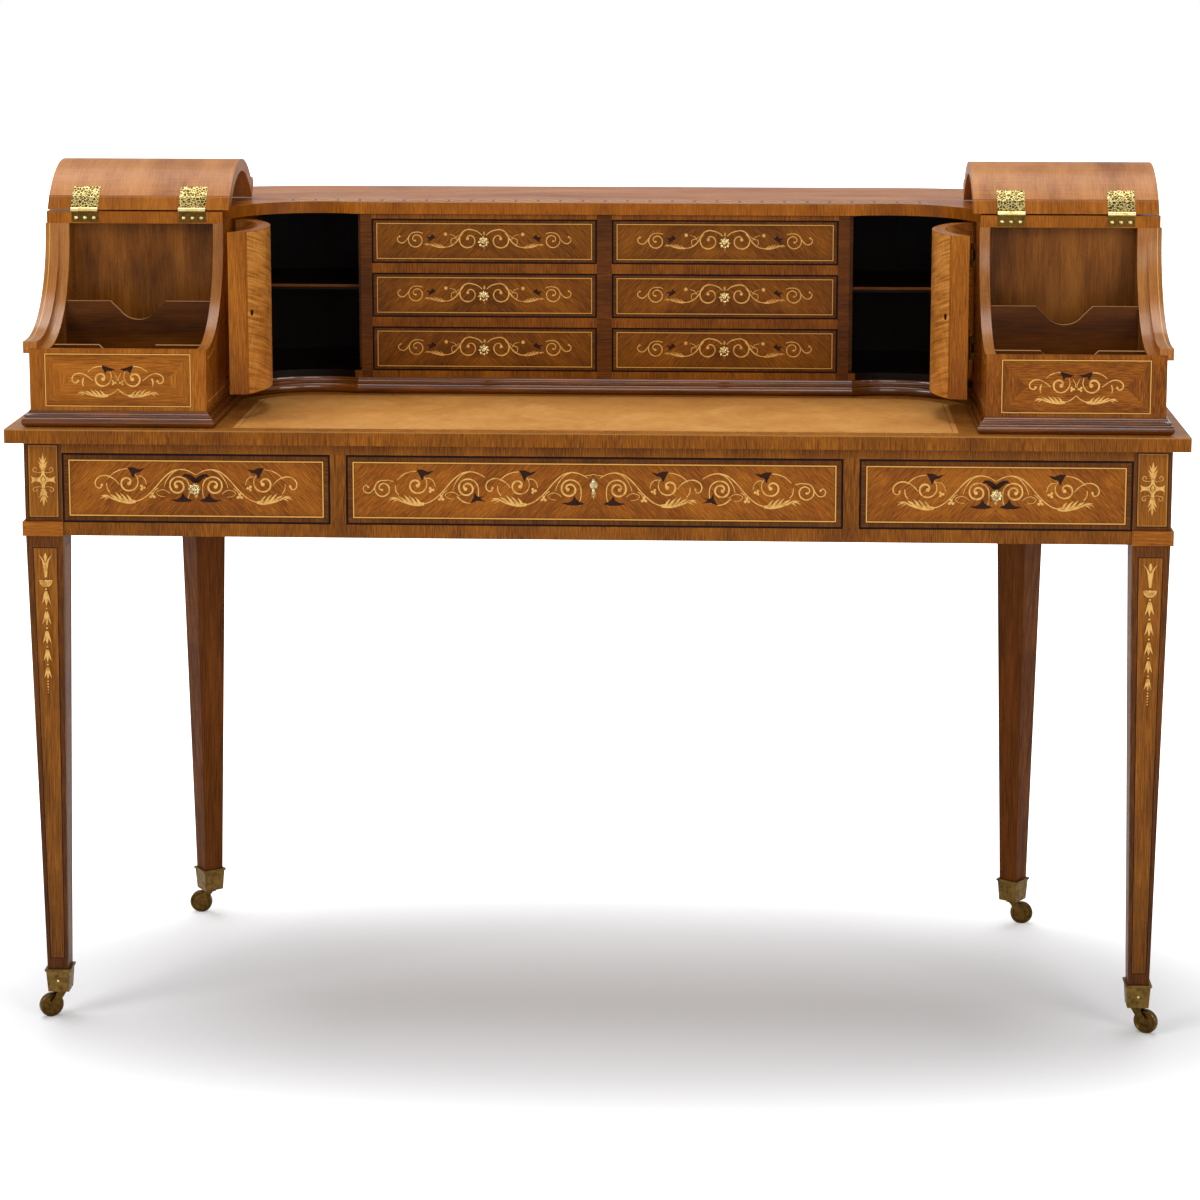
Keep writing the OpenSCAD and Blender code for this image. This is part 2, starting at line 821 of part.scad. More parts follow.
// Floors under the small drawers and under the cupboards
module gallery_floor() {
    back = corner_y + inner_wall_r - glue;
    color(wood)
        for (side = [left, right])
            on_side(side) {
                board([-small_drawers_x + glue, gallery_front_y, top_h], [-centre_half_w - glue, back, floor_z]);
                board([-cupboard_in_x, gallery_front_y, top_h], [-door_stop_x - glue, stop_y - glue, floor_z]);
                translate([0, 0, top_h])
                    linear_extrude(height = gallery_floor_t)
                        difference() {
                            intersection() {
                                translate([-tower_in_x + glue, door_axis[1] - 9])
                                    square([tower_in_x - cupboard_in_x - 2 * glue, top_d]);
                                d_plan(case_inset + back_wall_t + 0.3, 0);
                            }
                            translate(door_centre) circle(r = floor_edge_r);
                        }
            }
}

module cupboard_shelves() {
    color(wood)
        for (side = [left, right])
            on_side(side)
                translate([0, 0, shelf_z])
                    linear_extrude(height = shelf_t)
                        intersection() {
                            translate([-tower_in_x + glue, shelf_y])
                                square([tower_in_x - cupboard_in_x - 2 * glue, top_d]);
                            d_plan(case_inset + back_wall_t + 0.3, 0);
                        }
}

// Section of the base moulding: a torus, a fillet and a hollow, standing out towards +X
module base_section() {
    torus_r = base_h * 0.32;
    fillet_h = 2;
    hollow_r = base_h - 2 * torus_r - fillet_h;
    square([base_out - torus_r, 2 * torus_r]);
    intersection() {
        translate([base_out - torus_r, torus_r]) circle(r = torus_r);
        square([base_out, base_h]);
    }
    translate([0, 2 * torus_r - glue]) square([base_out * 0.7, fillet_h + glue]);
    difference() {
        translate([0, 2 * torus_r]) square([base_out * 0.62, base_h - 2 * torus_r]);
        translate([base_out * 0.62 + 0.6, base_h]) circle(r = hollow_r);
    }
}

// Plan of a straight run of moulding along X, mitred at the ends that ask for it
module run_plan(x0, x1, y0, y1, mitre0, mitre1) {
    d = y1 - y0;
    polygon([[x0, y1], [x1, y1], [x1 + (mitre1 ? d : 0), y0], [x0 - (mitre0 ? d : 0), y0]]);
}

module base_moulding() {
    side_end_y = door_centre[1]
        + sqrt(pow(floor_edge_r, 2) - pow(tower_in_x + door_centre[0], 2)) - 1;
    corner_step = 30;
    corner_gap = glue / wall_r * 180 / PI;
    door_step = 36;
    color(dark_wood)
        for (side = [left, right])
            on_side(side)
                translate([0, 0, top_h]) {
                    // Front of the tower
                    intersection() {
                        along_x(-top_w / 2, 0) translate([tower_front, 0]) mirror([1, 0]) base_section();
                        linear_extrude(height = base_h)
                            run_plan(-tower_out_x, -tower_in_x, tower_front - base_out, tower_front, true, true);
                    }
                    // Inner side of the tower
                    intersection() {
                        along_y(0, side_end_y) translate([-tower_in_x, 0]) base_section();
                        linear_extrude(height = base_h)
                            polygon([
                                [-tower_in_x, tower_front + glue],
                                [-tower_in_x + base_out, tower_front - base_out + glue],
                                [-tower_in_x + base_out, side_end_y],
                                [-tower_in_x, side_end_y]
                            ]);
                    }
                    // Outer side of the tower
                    intersection() {
                        along_y(0, corner_y) translate([-tower_out_x, 0]) mirror([1, 0]) base_section();
                        linear_extrude(height = base_h)
                            polygon([
                                [-tower_out_x, tower_front + glue],
                                [-tower_out_x - base_out, tower_front - base_out + glue],
                                [-tower_out_x - base_out, corner_y],
                                [-tower_out_x, corner_y]
                            ]);
                    }
                    // Rounded back corner
                    for (turn = [0 : corner_step : 89])
                        translate([-corner_x, corner_y, 0])
                            rotate([0, 0, 180 - turn - corner_step])
                                rotate_extrude(angle = corner_step - corner_gap)
                                    translate([wall_r + glue, 0]) base_section();
                    // Half of the back
                    along_x(-corner_x + glue, -glue / 2) translate([case_back_y, 0]) base_section();
                    // Curved front of the cupboard
                    intersection() {
                        for (turn = [0 : 2])
                            translate([door_centre[0], door_centre[1], 0])
                                rotate([0, 0, 50 + turn * door_step])
                                    rotate_extrude(angle = door_step - 2 * corner_gap)
                                        translate([floor_edge_r - glue, 0]) mirror([1, 0]) base_section();
                        board(
                            [-tower_in_x, side_end_y + glue, 0],
                            [-cupboard_in_x - glue, top_d, base_h]
                        );
                    }
                    // Half of the front under the small drawers
                    along_x(-cupboard_in_x, -glue / 2)
                        translate([gallery_front_y, 0]) mirror([1, 0]) base_section();
                }
}

// Side outline of a cheek, with the hollow slope for the lid
module cheek_outline(back_y) {
    difference() {
        translate([cheek_front_y + glue, top_h]) square([back_y - cheek_front_y - glue, gallery_under - top_h]);
        translate([0, slope_z]) square([tower_rail_y, gallery_under]);
        translate([0, tower_top_z]) square([slope_y, gallery_under]);
        translate([slope_y, slope_z]) circle(r = slope_r);
    }
}

// Side outline of the raised band that runs down the outer cheek
module band_outline() {
    difference() {
        intersection() {
            translate([slope_y, band_z]) circle(r = band_r + band_t);
            translate([slope_y, 0]) square([band_r + band_t, band_z]);
        }
        translate([slope_y, band_z]) circle(r = band_r);
    }
    translate([lid_front_y, band_z - band_r - band_t]) square([slope_y - lid_front_y, band_t]);
}

module tower_cheeks(side) {
    inner_back = corner_y + sqrt(pow(inner_wall_r - 0.3, 2) - pow(letter_in_x - corner_x, 2));
    color(wood)
        on_side(side) {
            difference() {
                union() {
                    along_x(-tower_out_x, -letter_out_x) cheek_outline(corner_y);
                    along_x(-band_out_x, -band_in_x) band_outline();
                }
                // The band stays in front of the tower front and stops at its own end
                board(
                    [-tower_out_x, 0, top_h],
                    [-band_in_x + 1, cheek_front_y + glue, tower_top_z + glue]
                );
            }
            difference() {
                along_x(-letter_in_x, -tower_in_x) cheek_outline(inner_back);
                for (z = door_hinges_z())
                    board(
                        [-tower_in_x - 0.8, door_axis[1] - 3, z],
                        [-tower_in_x + 1, door_axis[1] + door_leaf_w(), z + door_hinge_h]
                    );
            }
        }
}

// Front, floor and back of a letter tower
module tower_case(side) {
    color(wood)
        on_side(side) {
            board([-tower_out_x, tower_front, top_h], [-tower_in_x, cheek_front_y, tower_top_z]);
            board(
                [-letter_out_x + glue, cheek_front_y + glue, letter_floor_z - letter_floor_t],
                [-letter_in_x - glue, letter_back_y - glue, letter_floor_z]
            );
            board(
                [-letter_out_x + glue, letter_back_y, top_h],
                [-letter_in_x - glue, letter_back_y + letter_back_t, gallery_under]
            );
        }
}

// Scooped partition between two letter spaces
module partition(y, high) {
    mid_x = -(letter_out_x + letter_in_x) / 2;
    scoop_r = 30;
    shoulder = 12;
    along_y(y, y + partition_t)
        difference() {
            translate([-letter_out_x + run_gap, letter_floor_z])
                square([letter_out_x - letter_in_x - 2 * run_gap, high - letter_floor_z]);
            translate([mid_x, high + scoop_r - 2 * shoulder]) circle(r = scoop_r);
            translate([mid_x, high])
                polygon([
                    [-scoop_half_w, 0], [shoulder - scoop_half_w, -shoulder],
                    [scoop_half_w - shoulder, -shoulder], [scoop_half_w, 0],
                    [scoop_half_w, shoulder], [-scoop_half_w, shoulder]
                ]);
        }
}

// Height of the cheek slope at a distance back from the front edge of the top
function slope_at(y) = slope_z - sqrt(pow(slope_r, 2) - pow(y - slope_y, 2));

module letter_partitions() {
    color(inside_wood)
        for (side = [left, right])
            on_side(side) {
                partition(front_partition_y, slope_at(front_partition_y) - 1);
                partition(rear_partition_y, slope_at(rear_partition_y) - 1);
            }
}

// Middles of the two hinges of a left lid
function lid_hinges_x() = [-lid_end_x + lid_hinge_in, -lid_start_x - lid_hinge_in];

// Foot and back of the fixed leaf, let into the front of the top board
function fixed_leaf_z() = gallery_under + 1.5;
function fixed_leaf_back() = tower_rail_y + 0.8;

// Turns a closed lid open about its hinge axis
module lid_opened() {
    translate([0, lid_axis_y, lid_axis_z])
        rotate([-lid_open, 0, 0])
            translate([0, -lid_axis_y, -lid_axis_z]) children();
}

// Section of a closed lid
module lid_outline() {
    difference() {
        intersection() {
            translate([slope_y, band_z]) circle(r = lid_r);
            translate([slope_y, 0]) square([lid_r, band_z]);
        }
        translate([slope_y, band_z]) circle(r = lid_r - lid_t);
    }
    translate([lid_front_y, band_z - lid_r]) square([slope_y - lid_front_y, lid_t]);
    polygon([
        [lid_outer_y, band_z], [lid_fold_y, band_z],
        [lid_axis_y, lid_axis_z], [lid_outer_y, lid_cut_z]
    ]);
}

// Moving leaf of a lid hinge in section, bent over the fold of the lid
module lid_leaf_outline(from) {
    axis = [lid_axis_y, lid_axis_z];
    fold = [lid_fold_y, band_z];
    deep = leaf_t - leaf_proud;
    polygon([
        axis + from * facet_u + leaf_proud * facet_n,
        fold + leaf_proud * facet_n,
        fold - deep * facet_n,
        axis + from * facet_u - deep * facet_n
    ]);
    intersection() {
        difference() {
            translate([slope_y, band_z]) circle(r = lid_r + leaf_proud);
            translate([slope_y, band_z]) circle(r = lid_r - deep);
        }
        translate([slope_y, band_z])
            polygon([[0, 0], [2 * lid_r, 0], [2 * lid_r * cos(leaf_arc), -2 * lid_r * sin(leaf_arc)]]);
    }
}

module lid(side) {
    color(wood)
        on_side(side)
            lid_opened()
                difference() {
                    union() {
                        along_x(-lid_end_x, -lid_start_x) lid_outline();
                        // Lip that drops behind the tower front between the band and the cheek
                        along_x(-band_in_x + curve_gap, -lid_start_x)
                            translate([lid_front_y, tower_top_z + curve_gap])
                                square([lid_lip_t, band_z - lid_r - tower_top_z]);
                    }
                    for (x = lid_hinges_x())
                        translate([x, 0, 0]) {
                            translate([-lid_hinge_w / 2 - 0.5, lid_axis_y, lid_axis_z])
                                rotate([0, 90, 0]) cylinder(r = knuckle_r + 0.4, h = lid_hinge_w + 1);
                            along_x(-lid_hinge_w / 2, lid_hinge_w / 2) lid_leaf_outline(4.5);
                            along_x(-lid_hinge_w * moving_knuckle / 2, lid_hinge_w * moving_knuckle / 2)
                                lid_leaf_outline(0);
                        }
                }
}

// Moving leaves of a lid, each with the middle knuckle of its hinge
module lid_hinge_leaves(side) {
    half = lid_hinge_w * moving_knuckle / 2 - knuckle_gap;
    color(brass)
        on_side(side)
            lid_opened()
                for (x = lid_hinges_x())
                    translate([x, 0, 0])
                        difference() {
                            union() {
                                along_x(-lid_hinge_w / 2, lid_hinge_w / 2) lid_leaf_outline(4.5);
                                along_x(-half, half) lid_leaf_outline(0);
                                translate([-half, lid_axis_y, lid_axis_z])
                                    rotate([0, 90, 0]) cylinder(r = knuckle_r, h = 2 * half);
                            }
                            translate([-lid_hinge_w, lid_axis_y, lid_axis_z])
                                rotate([0, 90, 0]) cylinder(r = pin_r + pin_gap, h = 2 * lid_hinge_w);
                        }
}

// Feet of the two hinges of a door, and the width of their leaves
function door_hinges_z() = [door_z + 28, door_top_z - 28 - door_hinge_h];
function door_leaf_w() = 15;

// Turns a closed left door open about its hinge axis
module door_opened() {
    translate([-door_axis[0], door_axis[1], 0])
        rotate([0, 0, -door_open])
            translate([door_axis[0], -door_axis[1], 0]) children();
}

// Plan of a closed left door, hollow on its outer face
module door_plan() {
    hinge_end_x = tower_in_x - 1.5;
    end_y = door_centre[1] + sqrt(pow(door_r, 2) - pow(door_end_x + door_centre[0], 2));
    inner_r = door_r + door_t;
    inner_x = door_end_x + door_bevel;
    inner_y = door_centre[1] + sqrt(pow(inner_r, 2) - pow(inner_x + door_centre[0], 2));
    difference() {
        translate(door_centre) circle(r = inner_r);
        translate(door_centre) circle(r = door_r);
        translate([-hinge_end_x - inner_r, 0]) square([inner_r, top_d]);
        translate([-top_w, 0]) square([2 * top_w, door_axis[1] - 5]);
        translate([-top_w, 0]) square([top_w - door_axis[0], door_axis[1]]);
        polygon([
            [-door_end_x, end_y], [-inner_x, inner_y], [-inner_x, top_d],
            [0, top_d], [0, 0], [-door_end_x, 0]
        ]);
    }
}

// Leaf of a door hinge against the end of the door, standing at the hinge axis
module door_leaf(z0, z1, from) {
    board(
        [-tower_in_x + 1.2, door_axis[1] + from, z0],
        [-tower_in_x + 2.3, door_axis[1] + door_leaf_w(), z1]
    );
}

module cupboard_door(side) {
    color(wood)
        on_side(side)
            door_opened()
                difference() {
                    translate([0, 0, door_z]) linear_extrude(height = door_top_z - door_z) door_plan();
                    for (z = door_hinges_z()) {
                        translate([-door_axis[0], door_axis[1], z - 0.4])
                            cylinder(r = knuckle_r + 0.4, h = door_hinge_h + 0.8);
                        door_leaf(z, z + door_hinge_h, 0);
                    }
                }
}

module door_hinge_leaves(side) {
    reach = door_hinge_h * (1 - moving_knuckle) / 2 + knuckle_gap;
    color(brass)
        on_side(side)
            door_opened()
                for (z = door_hinges_z())
                    difference() {
                        union() {
                            door_leaf(z, z + door_hinge_h, 4);
                            door_leaf(z + reach, z + door_hinge_h - reach, 0);
                            translate([-door_axis[0], door_axis[1], z + reach])
                                cylinder(r = knuckle_r, h = door_hinge_h - 2 * reach);
                        }
                        translate([-door_axis[0], door_axis[1], z - 1])
                            cylinder(r = pin_r + pin_gap, h = door_hinge_h + 2);
                    }
}

// Fixed leaves, outer knuckles and pins of the lid and door hinges
module fixed_hinge_leaves() {
    lid_outer = lid_hinge_w * (1 - moving_knuckle) / 2;
    door_outer = door_hinge_h * (1 - moving_knuckle) / 2;
    color(brass)
        for (side = [left, right])
            on_side(side) {
                for (x = lid_hinges_x())
                    translate([x - lid_hinge_w / 2, 0, 0]) {
                        board(
                            [0, tower_rail_y - 0.2, fixed_leaf_z()],
                            [lid_hinge_w, fixed_leaf_back(), lid_axis_z - 0.3]
                        );
                        for (start = [0, lid_hinge_w - lid_outer]) {
                            board(
                                [start, tower_rail_y - 1.8, gallery_top_z - 2],
                                [start + lid_outer, fixed_leaf_back(), lid_axis_z - 0.3]
                            );
                            translate([start, lid_axis_y, lid_axis_z])
                                rotate([0, 90, 0]) cylinder(r = knuckle_r, h = lid_outer);
                        }
                        translate([0, lid_axis_y, lid_axis_z])
                            rotate([0, 90, 0]) cylinder(r = pin_r, h = lid_hinge_w);
                    }
                for (z = door_hinges_z())
                    translate([0, door_axis[1], z]) {
                        board([-tower_in_x - 0.8, -3, 0], [-tower_in_x + 0.2, door_leaf_w(), door_hinge_h]);
                        for (start = [0, door_hinge_h - door_outer]) {
                            board([-tower_in_x - 0.8, -3, start], [-door_axis[0] - 1.3, -1, start + door_outer]);
                            translate([-door_axis[0], 0, start]) cylinder(r = knuckle_r, h = door_outer);
                        }
                        translate([-door_axis[0], 0, 0]) cylinder(r = pin_r, h = door_hinge_h);
                    }
            }
}

// Knob on the hollow face of a door, near the edge that meets the stile
module door_knob(side) {
    end_turn = acos((-door_end_x - door_centre[0]) / door_r);
    seat = door_r - glue;
    color(brass)
        on_side(side)
            door_opened()
                translate([door_centre[0], door_centre[1], door_knob_z])
                    rotate([0, 0, end_turn + door_knob_turn])
                        translate([seat, 0, 0])
                            rotate([0, -90, 0]) knob_shape(door_knob_r, door_knob_len);
}

tabletop();
leather_inset();
frieze_frame();
apron();
drawer_runners();
leg(false, left);  // leg_front_left
leg(false, right);  // leg_front_right
leg(true, left);  // leg_back_left
leg(true, right);  // leg_back_right
toe_cups();
caster_fork(false, left);  // caster_fork_front_left
caster_fork(false, right);  // caster_fork_front_right
caster_fork(true, left);  // caster_fork_back_left
caster_fork(true, right);  // caster_fork_back_right
caster_wheel(false, left);  // caster_wheel_front_left
caster_wheel(false, right);  // caster_wheel_front_right
caster_wheel(true, left);  // caster_wheel_back_left
caster_wheel(true, right);  // caster_wheel_back_right
frieze_drawer(-post_x, side_drawer_w);  // frieze_drawer_left
frieze_drawer_centre();
frieze_drawer(post_x - side_drawer_w, side_drawer_w);  // frieze_drawer_right
frieze_knob(left);  // frieze_knob_left
frieze_knob(right);  // frieze_knob_right
drawer_key();
drawer_lock();
gallery_drawer(left, 2);  // gallery_drawer_left_top
gallery_drawer(left, 1);  // gallery_drawer_left_middle
gallery_drawer(left, 0);  // gallery_drawer_left_bottom
gallery_drawer(right, 2);  // gallery_drawer_right_top
gallery_drawer(right, 1);  // gallery_drawer_right_middle
gallery_drawer(right, 0);  // gallery_drawer_right_bottom
gallery_knob(left, 2);  // gallery_knob_left_top
gallery_knob(left, 1);  // gallery_knob_left_middle
gallery_knob(left, 0);  // gallery_knob_left_bottom
gallery_knob(right, 2);  // gallery_knob_right_top
gallery_knob(right, 1);  // gallery_knob_right_middle
gallery_knob(right, 0);  // gallery_knob_right_bottom
gallery_top();
gallery_back();
gallery_partitions();
gallery_dust_boards();
gallery_floor();
cupboard_shelves();
base_moulding();
tower_case(left);  // tower_case_left
tower_case(right);  // tower_case_right
tower_cheeks(left);  // tower_cheeks_left
tower_cheeks(right);  // tower_cheeks_right
letter_partitions();
lid(left);  // lid_left
lid(right);  // lid_right
lid_hinge_leaves(left);  // lid_hinge_leaves_left
lid_hinge_leaves(right);  // lid_hinge_leaves_right
cupboard_door(left);  // cupboard_door_left
cupboard_door(right);  // cupboard_door_right
door_hinge_leaves(left);  // door_hinge_leaves_left
door_hinge_leaves(right);  // door_hinge_leaves_right
door_knob(left);  // door_knob_left
door_knob(right);  // door_knob_right
fixed_hinge_leaves();
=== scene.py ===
"""Looks of a carlton house desk: veneers, marquetry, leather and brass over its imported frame."""

from __future__ import annotations

import logging
import math
from dataclasses import dataclass
from enum import Enum
from typing import Callable, Sequence

import bmesh
import bpy
from mathutils import Matrix, Vector


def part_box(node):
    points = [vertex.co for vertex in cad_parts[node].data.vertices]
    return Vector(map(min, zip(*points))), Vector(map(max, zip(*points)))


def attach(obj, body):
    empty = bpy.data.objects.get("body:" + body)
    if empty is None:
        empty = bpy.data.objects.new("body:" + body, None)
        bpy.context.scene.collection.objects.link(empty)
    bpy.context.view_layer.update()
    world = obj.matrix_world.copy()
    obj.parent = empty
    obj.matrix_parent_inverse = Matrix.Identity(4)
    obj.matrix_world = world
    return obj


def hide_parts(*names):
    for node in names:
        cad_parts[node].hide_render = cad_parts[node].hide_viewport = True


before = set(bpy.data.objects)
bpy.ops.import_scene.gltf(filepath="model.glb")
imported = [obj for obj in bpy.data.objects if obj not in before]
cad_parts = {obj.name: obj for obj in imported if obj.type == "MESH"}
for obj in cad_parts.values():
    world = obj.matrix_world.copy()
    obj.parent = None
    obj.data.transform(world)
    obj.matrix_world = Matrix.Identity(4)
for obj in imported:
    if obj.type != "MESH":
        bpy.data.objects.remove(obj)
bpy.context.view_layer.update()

LOG = logging.getLogger("desk")
MM = 0.001
HALF_DEPTH = 0.290
SIDES = {"left": -1, "right": 1}
ROWS = {"bottom": 0, "middle": 1, "top": 2}

Point = tuple[float, float]
Colour = tuple[float, float, float, float]


def rgb(code: str) -> Colour:
    """Turns a hex code into a colour.

    Args:
        code: six sRGB hex digits.

    Returns:
        Linear red, green and blue, and an alpha of 1.
    """
    parts = [int(code[i : i + 2], 16) / 255 for i in (0, 2, 4)]
    linear = [c / 12.92 if c <= 0.04045 else ((c + 0.055) / 1.055) ** 2.4 for c in parts]
    return (linear[0], linear[1], linear[2], 1.0)


def deep(setback: float) -> float:
    """Y of the shared frame for a setback in millimetres from the front edge of the top."""
    return setback * MM - HALF_DEPTH


def row_z(row: int) -> float:
    """Height of the middle of a small drawer's front, in a row counted from the bottom."""
    return 0.810 + row * 0.0725 + 0.02975


FRIEZE_FACE, FRIEZE_BACK = deep(20), deep(37.9)
GALLERY_FACE, GALLERY_BACK = deep(321), deep(332.9)
FRIEZE_DRAWER_X, GALLERY_DRAWER_X, TOWER_X = 0.502, 0.1605, 0.59925
TOWER_Z = 0.8392
LEG_X, LEG_Y = 0.696, deep(44)
ANKLE, LEG_SLOPE = 0.0135, 0.018261
UPRIGHT = Matrix(((MM, 0, 0, 0), (0, 0, -MM, 0), (0, MM, 0, 0), (0, 0, 0, 1)))


class Value:
    """One socket of a node tree, used in Python expressions."""

    def __init__(self, graph: Graph, socket: bpy.types.NodeSocket) -> None:
        """Keeps the socket and the graph that it belongs to."""
        self.graph = graph
        self.socket = socket

    def maths(self, operation: str, *others: Value | float) -> Value:
        """Adds a Math node.

        Args:
            operation: the Math node's operation.
            others: the values after this one.

        Returns:
            The node's result.
        """
        inputs = dict(enumerate((self, *others)))
        return self.graph.node("ShaderNodeMath", {"operation": operation}, inputs)

    def __add__(self, other: Value | float) -> Value:
        """Sum."""
        return self.maths("ADD", other)

    __radd__ = __add__

    def __mul__(self, other: Value | float) -> Value:
        """Product."""
        return self.maths("MULTIPLY", other)

    __rmul__ = __mul__

    def __sub__(self, other: Value | float) -> Value:
        """Difference."""
        return self.maths("SUBTRACT", other)

    def __rsub__(self, other: float) -> Value:
        """A number less this value."""
        return self * -1 + other

    def __abs__(self) -> Value:
        """Size without its sign."""
        return self.maths("ABSOLUTE")

    def low(self, other: Value | float) -> Value:
        """The smaller of two values."""
        return self.maths("MINIMUM", other)

    def high(self, other: Value | float) -> Value:
        """The larger of two values."""
        return self.maths("MAXIMUM", other)

    def reach(self, other: Value) -> Value:
        """Length of the diagonal whose sides are this value and another."""
        return (self * self + other * other).maths("SQRT")

    def over(self, edge: float) -> Value:
        """1 where the value is more than the edge, else 0."""
        return self.maths("GREATER_THAN", edge)

    def rise(self, start: float, end: float) -> Value:
        """Smooth step from 0 at start to 1 at end."""
        settings = {"interpolation_type": "SMOOTHSTEP"}
        inputs = {"Value": self, "From Min": start, "From Max": end}
        return self.graph.node("ShaderNodeMapRange", settings, inputs)

    def line(self, centre: float, width: float) -> Value:
        """1 on a line of the given width about centre, with a soft edge."""
        soft = 0.00012
        return 1 - abs(self - centre).rise(width / 2 - soft, width / 2 + soft)


class Graph:
    """A node tree under construction."""

    def __init__(self, tree: bpy.types.NodeTree) -> None:
        """Keeps the tree."""
        self.tree = tree

    def node(
        self,
        kind: str,
        settings: dict[str, object] | None = None,
        inputs: dict[int | str, object] | None = None,
        out: int | str = 0,
    ) -> Value:
        """Adds a node.

        Args:
            kind: the node's type.
            settings: its properties; "stops" holds a ramp's positions and colours.
            inputs: values or links, by socket.
            out: the output to return.

        Returns:
            The chosen output.
        """
        made = self.tree.nodes.new(kind)
        for key, value in (settings or {}).items():
            if key == "stops":
                ramp = made.color_ramp.elements
                while len(ramp) < len(value):
                    ramp.new(0.5)
                for element, (position, colour) in zip(ramp, value):
                    element.position = position
                    element.color = colour
            else:
                setattr(made, key, value)
        for key, value in (inputs or {}).items():
            self.join(value, made.inputs[key])
        return Value(self, made.outputs[out])

    def join(self, value: object, socket: bpy.types.NodeSocket) -> None:
        """Links a value to an input, or sets a number or colour there."""
        if isinstance(value, Value):
            self.tree.links.new(value.socket, socket)
        else:
            socket.default_value = value


class Recipe(Graph):
    """A material under construction, with a Principled shader at its end."""

    def __init__(self, name: str) -> None:
        """Starts an empty material with its shader and output."""
        self.material = bpy.data.materials.new(name)
        self.material.use_nodes = True
        super().__init__(self.material.node_tree)
        self.tree.nodes.clear()
        self.shader = self.tree.nodes.new("ShaderNodeBsdfPrincipled")
        self.output = self.tree.nodes.new("ShaderNodeOutputMaterial")
        self.tree.links.new(self.shader.outputs[0], self.output.inputs[0])
        place = self.node("ShaderNodeTexCoord", out="Object")
        self.x, self.y, self.z = (self.split(place, i) for i in range(3))

    def split(self, vector: Value, axis: int) -> Value:
        """One of a vector's three numbers."""
        return self.node("ShaderNodeSeparateXYZ", None, {0: vector}, axis)

    def vector(self, x: Value | float, y: Value | float, z: Value | float) -> Value:
        """Three numbers as a vector."""
        return self.node("ShaderNodeCombineXYZ", None, {0: x, 1: y, 2: z})

    def place(self, scale: float) -> Value:
        """Object coordinates, in patterns per metre."""
        return self.vector(self.x * scale, self.y * scale, self.z * scale)

    def facing(self, axis: int) -> Value:
        """How far the surface faces along an axis, from -1 to 1."""
        return self.split(self.node("ShaderNodeNewGeometry", out="Normal"), axis)

    def noise(self, at: Value, detail: float = 2.0, rough: float = 0.5, warp: float = 0.0) -> Value:
        """Noise from 0 to 1 over a vector."""
        inputs = {"Vector": at, "Scale": 1.0, "Detail": detail, "Roughness": rough, "Distortion": warp}
        return self.node("ShaderNodeTexNoise", None, inputs)

    def cells(self, at: Value) -> Value:
        """Distance to the nearest edge of irregular cells over a vector."""
        settings = {"feature": "DISTANCE_TO_EDGE"}
        return self.node("ShaderNodeTexVoronoi", settings, {"Vector": at, "Scale": 1.0})

    def ramp(self, share: Value, *stops: tuple[float, str]) -> Value:
        """A colour ramp through hex codes at their positions."""
        colours = [(position, rgb(code)) for position, code in stops]
        return self.node("ShaderNodeValToRGB", {"stops": colours}, {"Fac": share})

    def blend(self, first: object, second: object, share: Value | float) -> Value:
        """Mixes two colours."""
        settings = {"data_type": "RGBA"}
        return self.node("ShaderNodeMix", settings, {0: share, 6: first, 7: second}, 2)

    def choose(self, first: Value | float, second: Value | float, share: Value) -> Value:
        """Mixes two numbers."""
        return self.node("ShaderNodeMix", {"data_type": "FLOAT"}, {0: share, 2: first, 3: second})

    def feed(self, socket: str, value: Value | float | tuple) -> None:
        """Links or sets one input of the shader."""
        self.join(value, self.shader.inputs[socket])

    def bump(self, height: Value, strength: float, distance: float) -> None:
        """Feeds the shader's normal from a height."""
        inputs = {"Strength": strength, "Distance": distance, "Height": height}
        self.feed("Normal", self.node("ShaderNodeBump", None, inputs))


@dataclass
class Skin:
    """Colour and height of a surface under construction."""

    r: Recipe
    colour: Value
    height: Value

    def under(self, other: Skin, share: Value) -> Skin:
        """This skin with another one over it where the share is 1."""
        colour = self.r.blend(self.colour, other.colour, share)
        return Skin(self.r, colour, self.r.choose(self.height, other.height, share))

    def mark(self, colour: Value | str, share: Value | float) -> None:
        """Colours the skin where the share is 1, with a value or a hex code."""
        paint = rgb(colour) if isinstance(colour, str) else colour
        self.colour = self.r.blend(self.colour, paint, share)


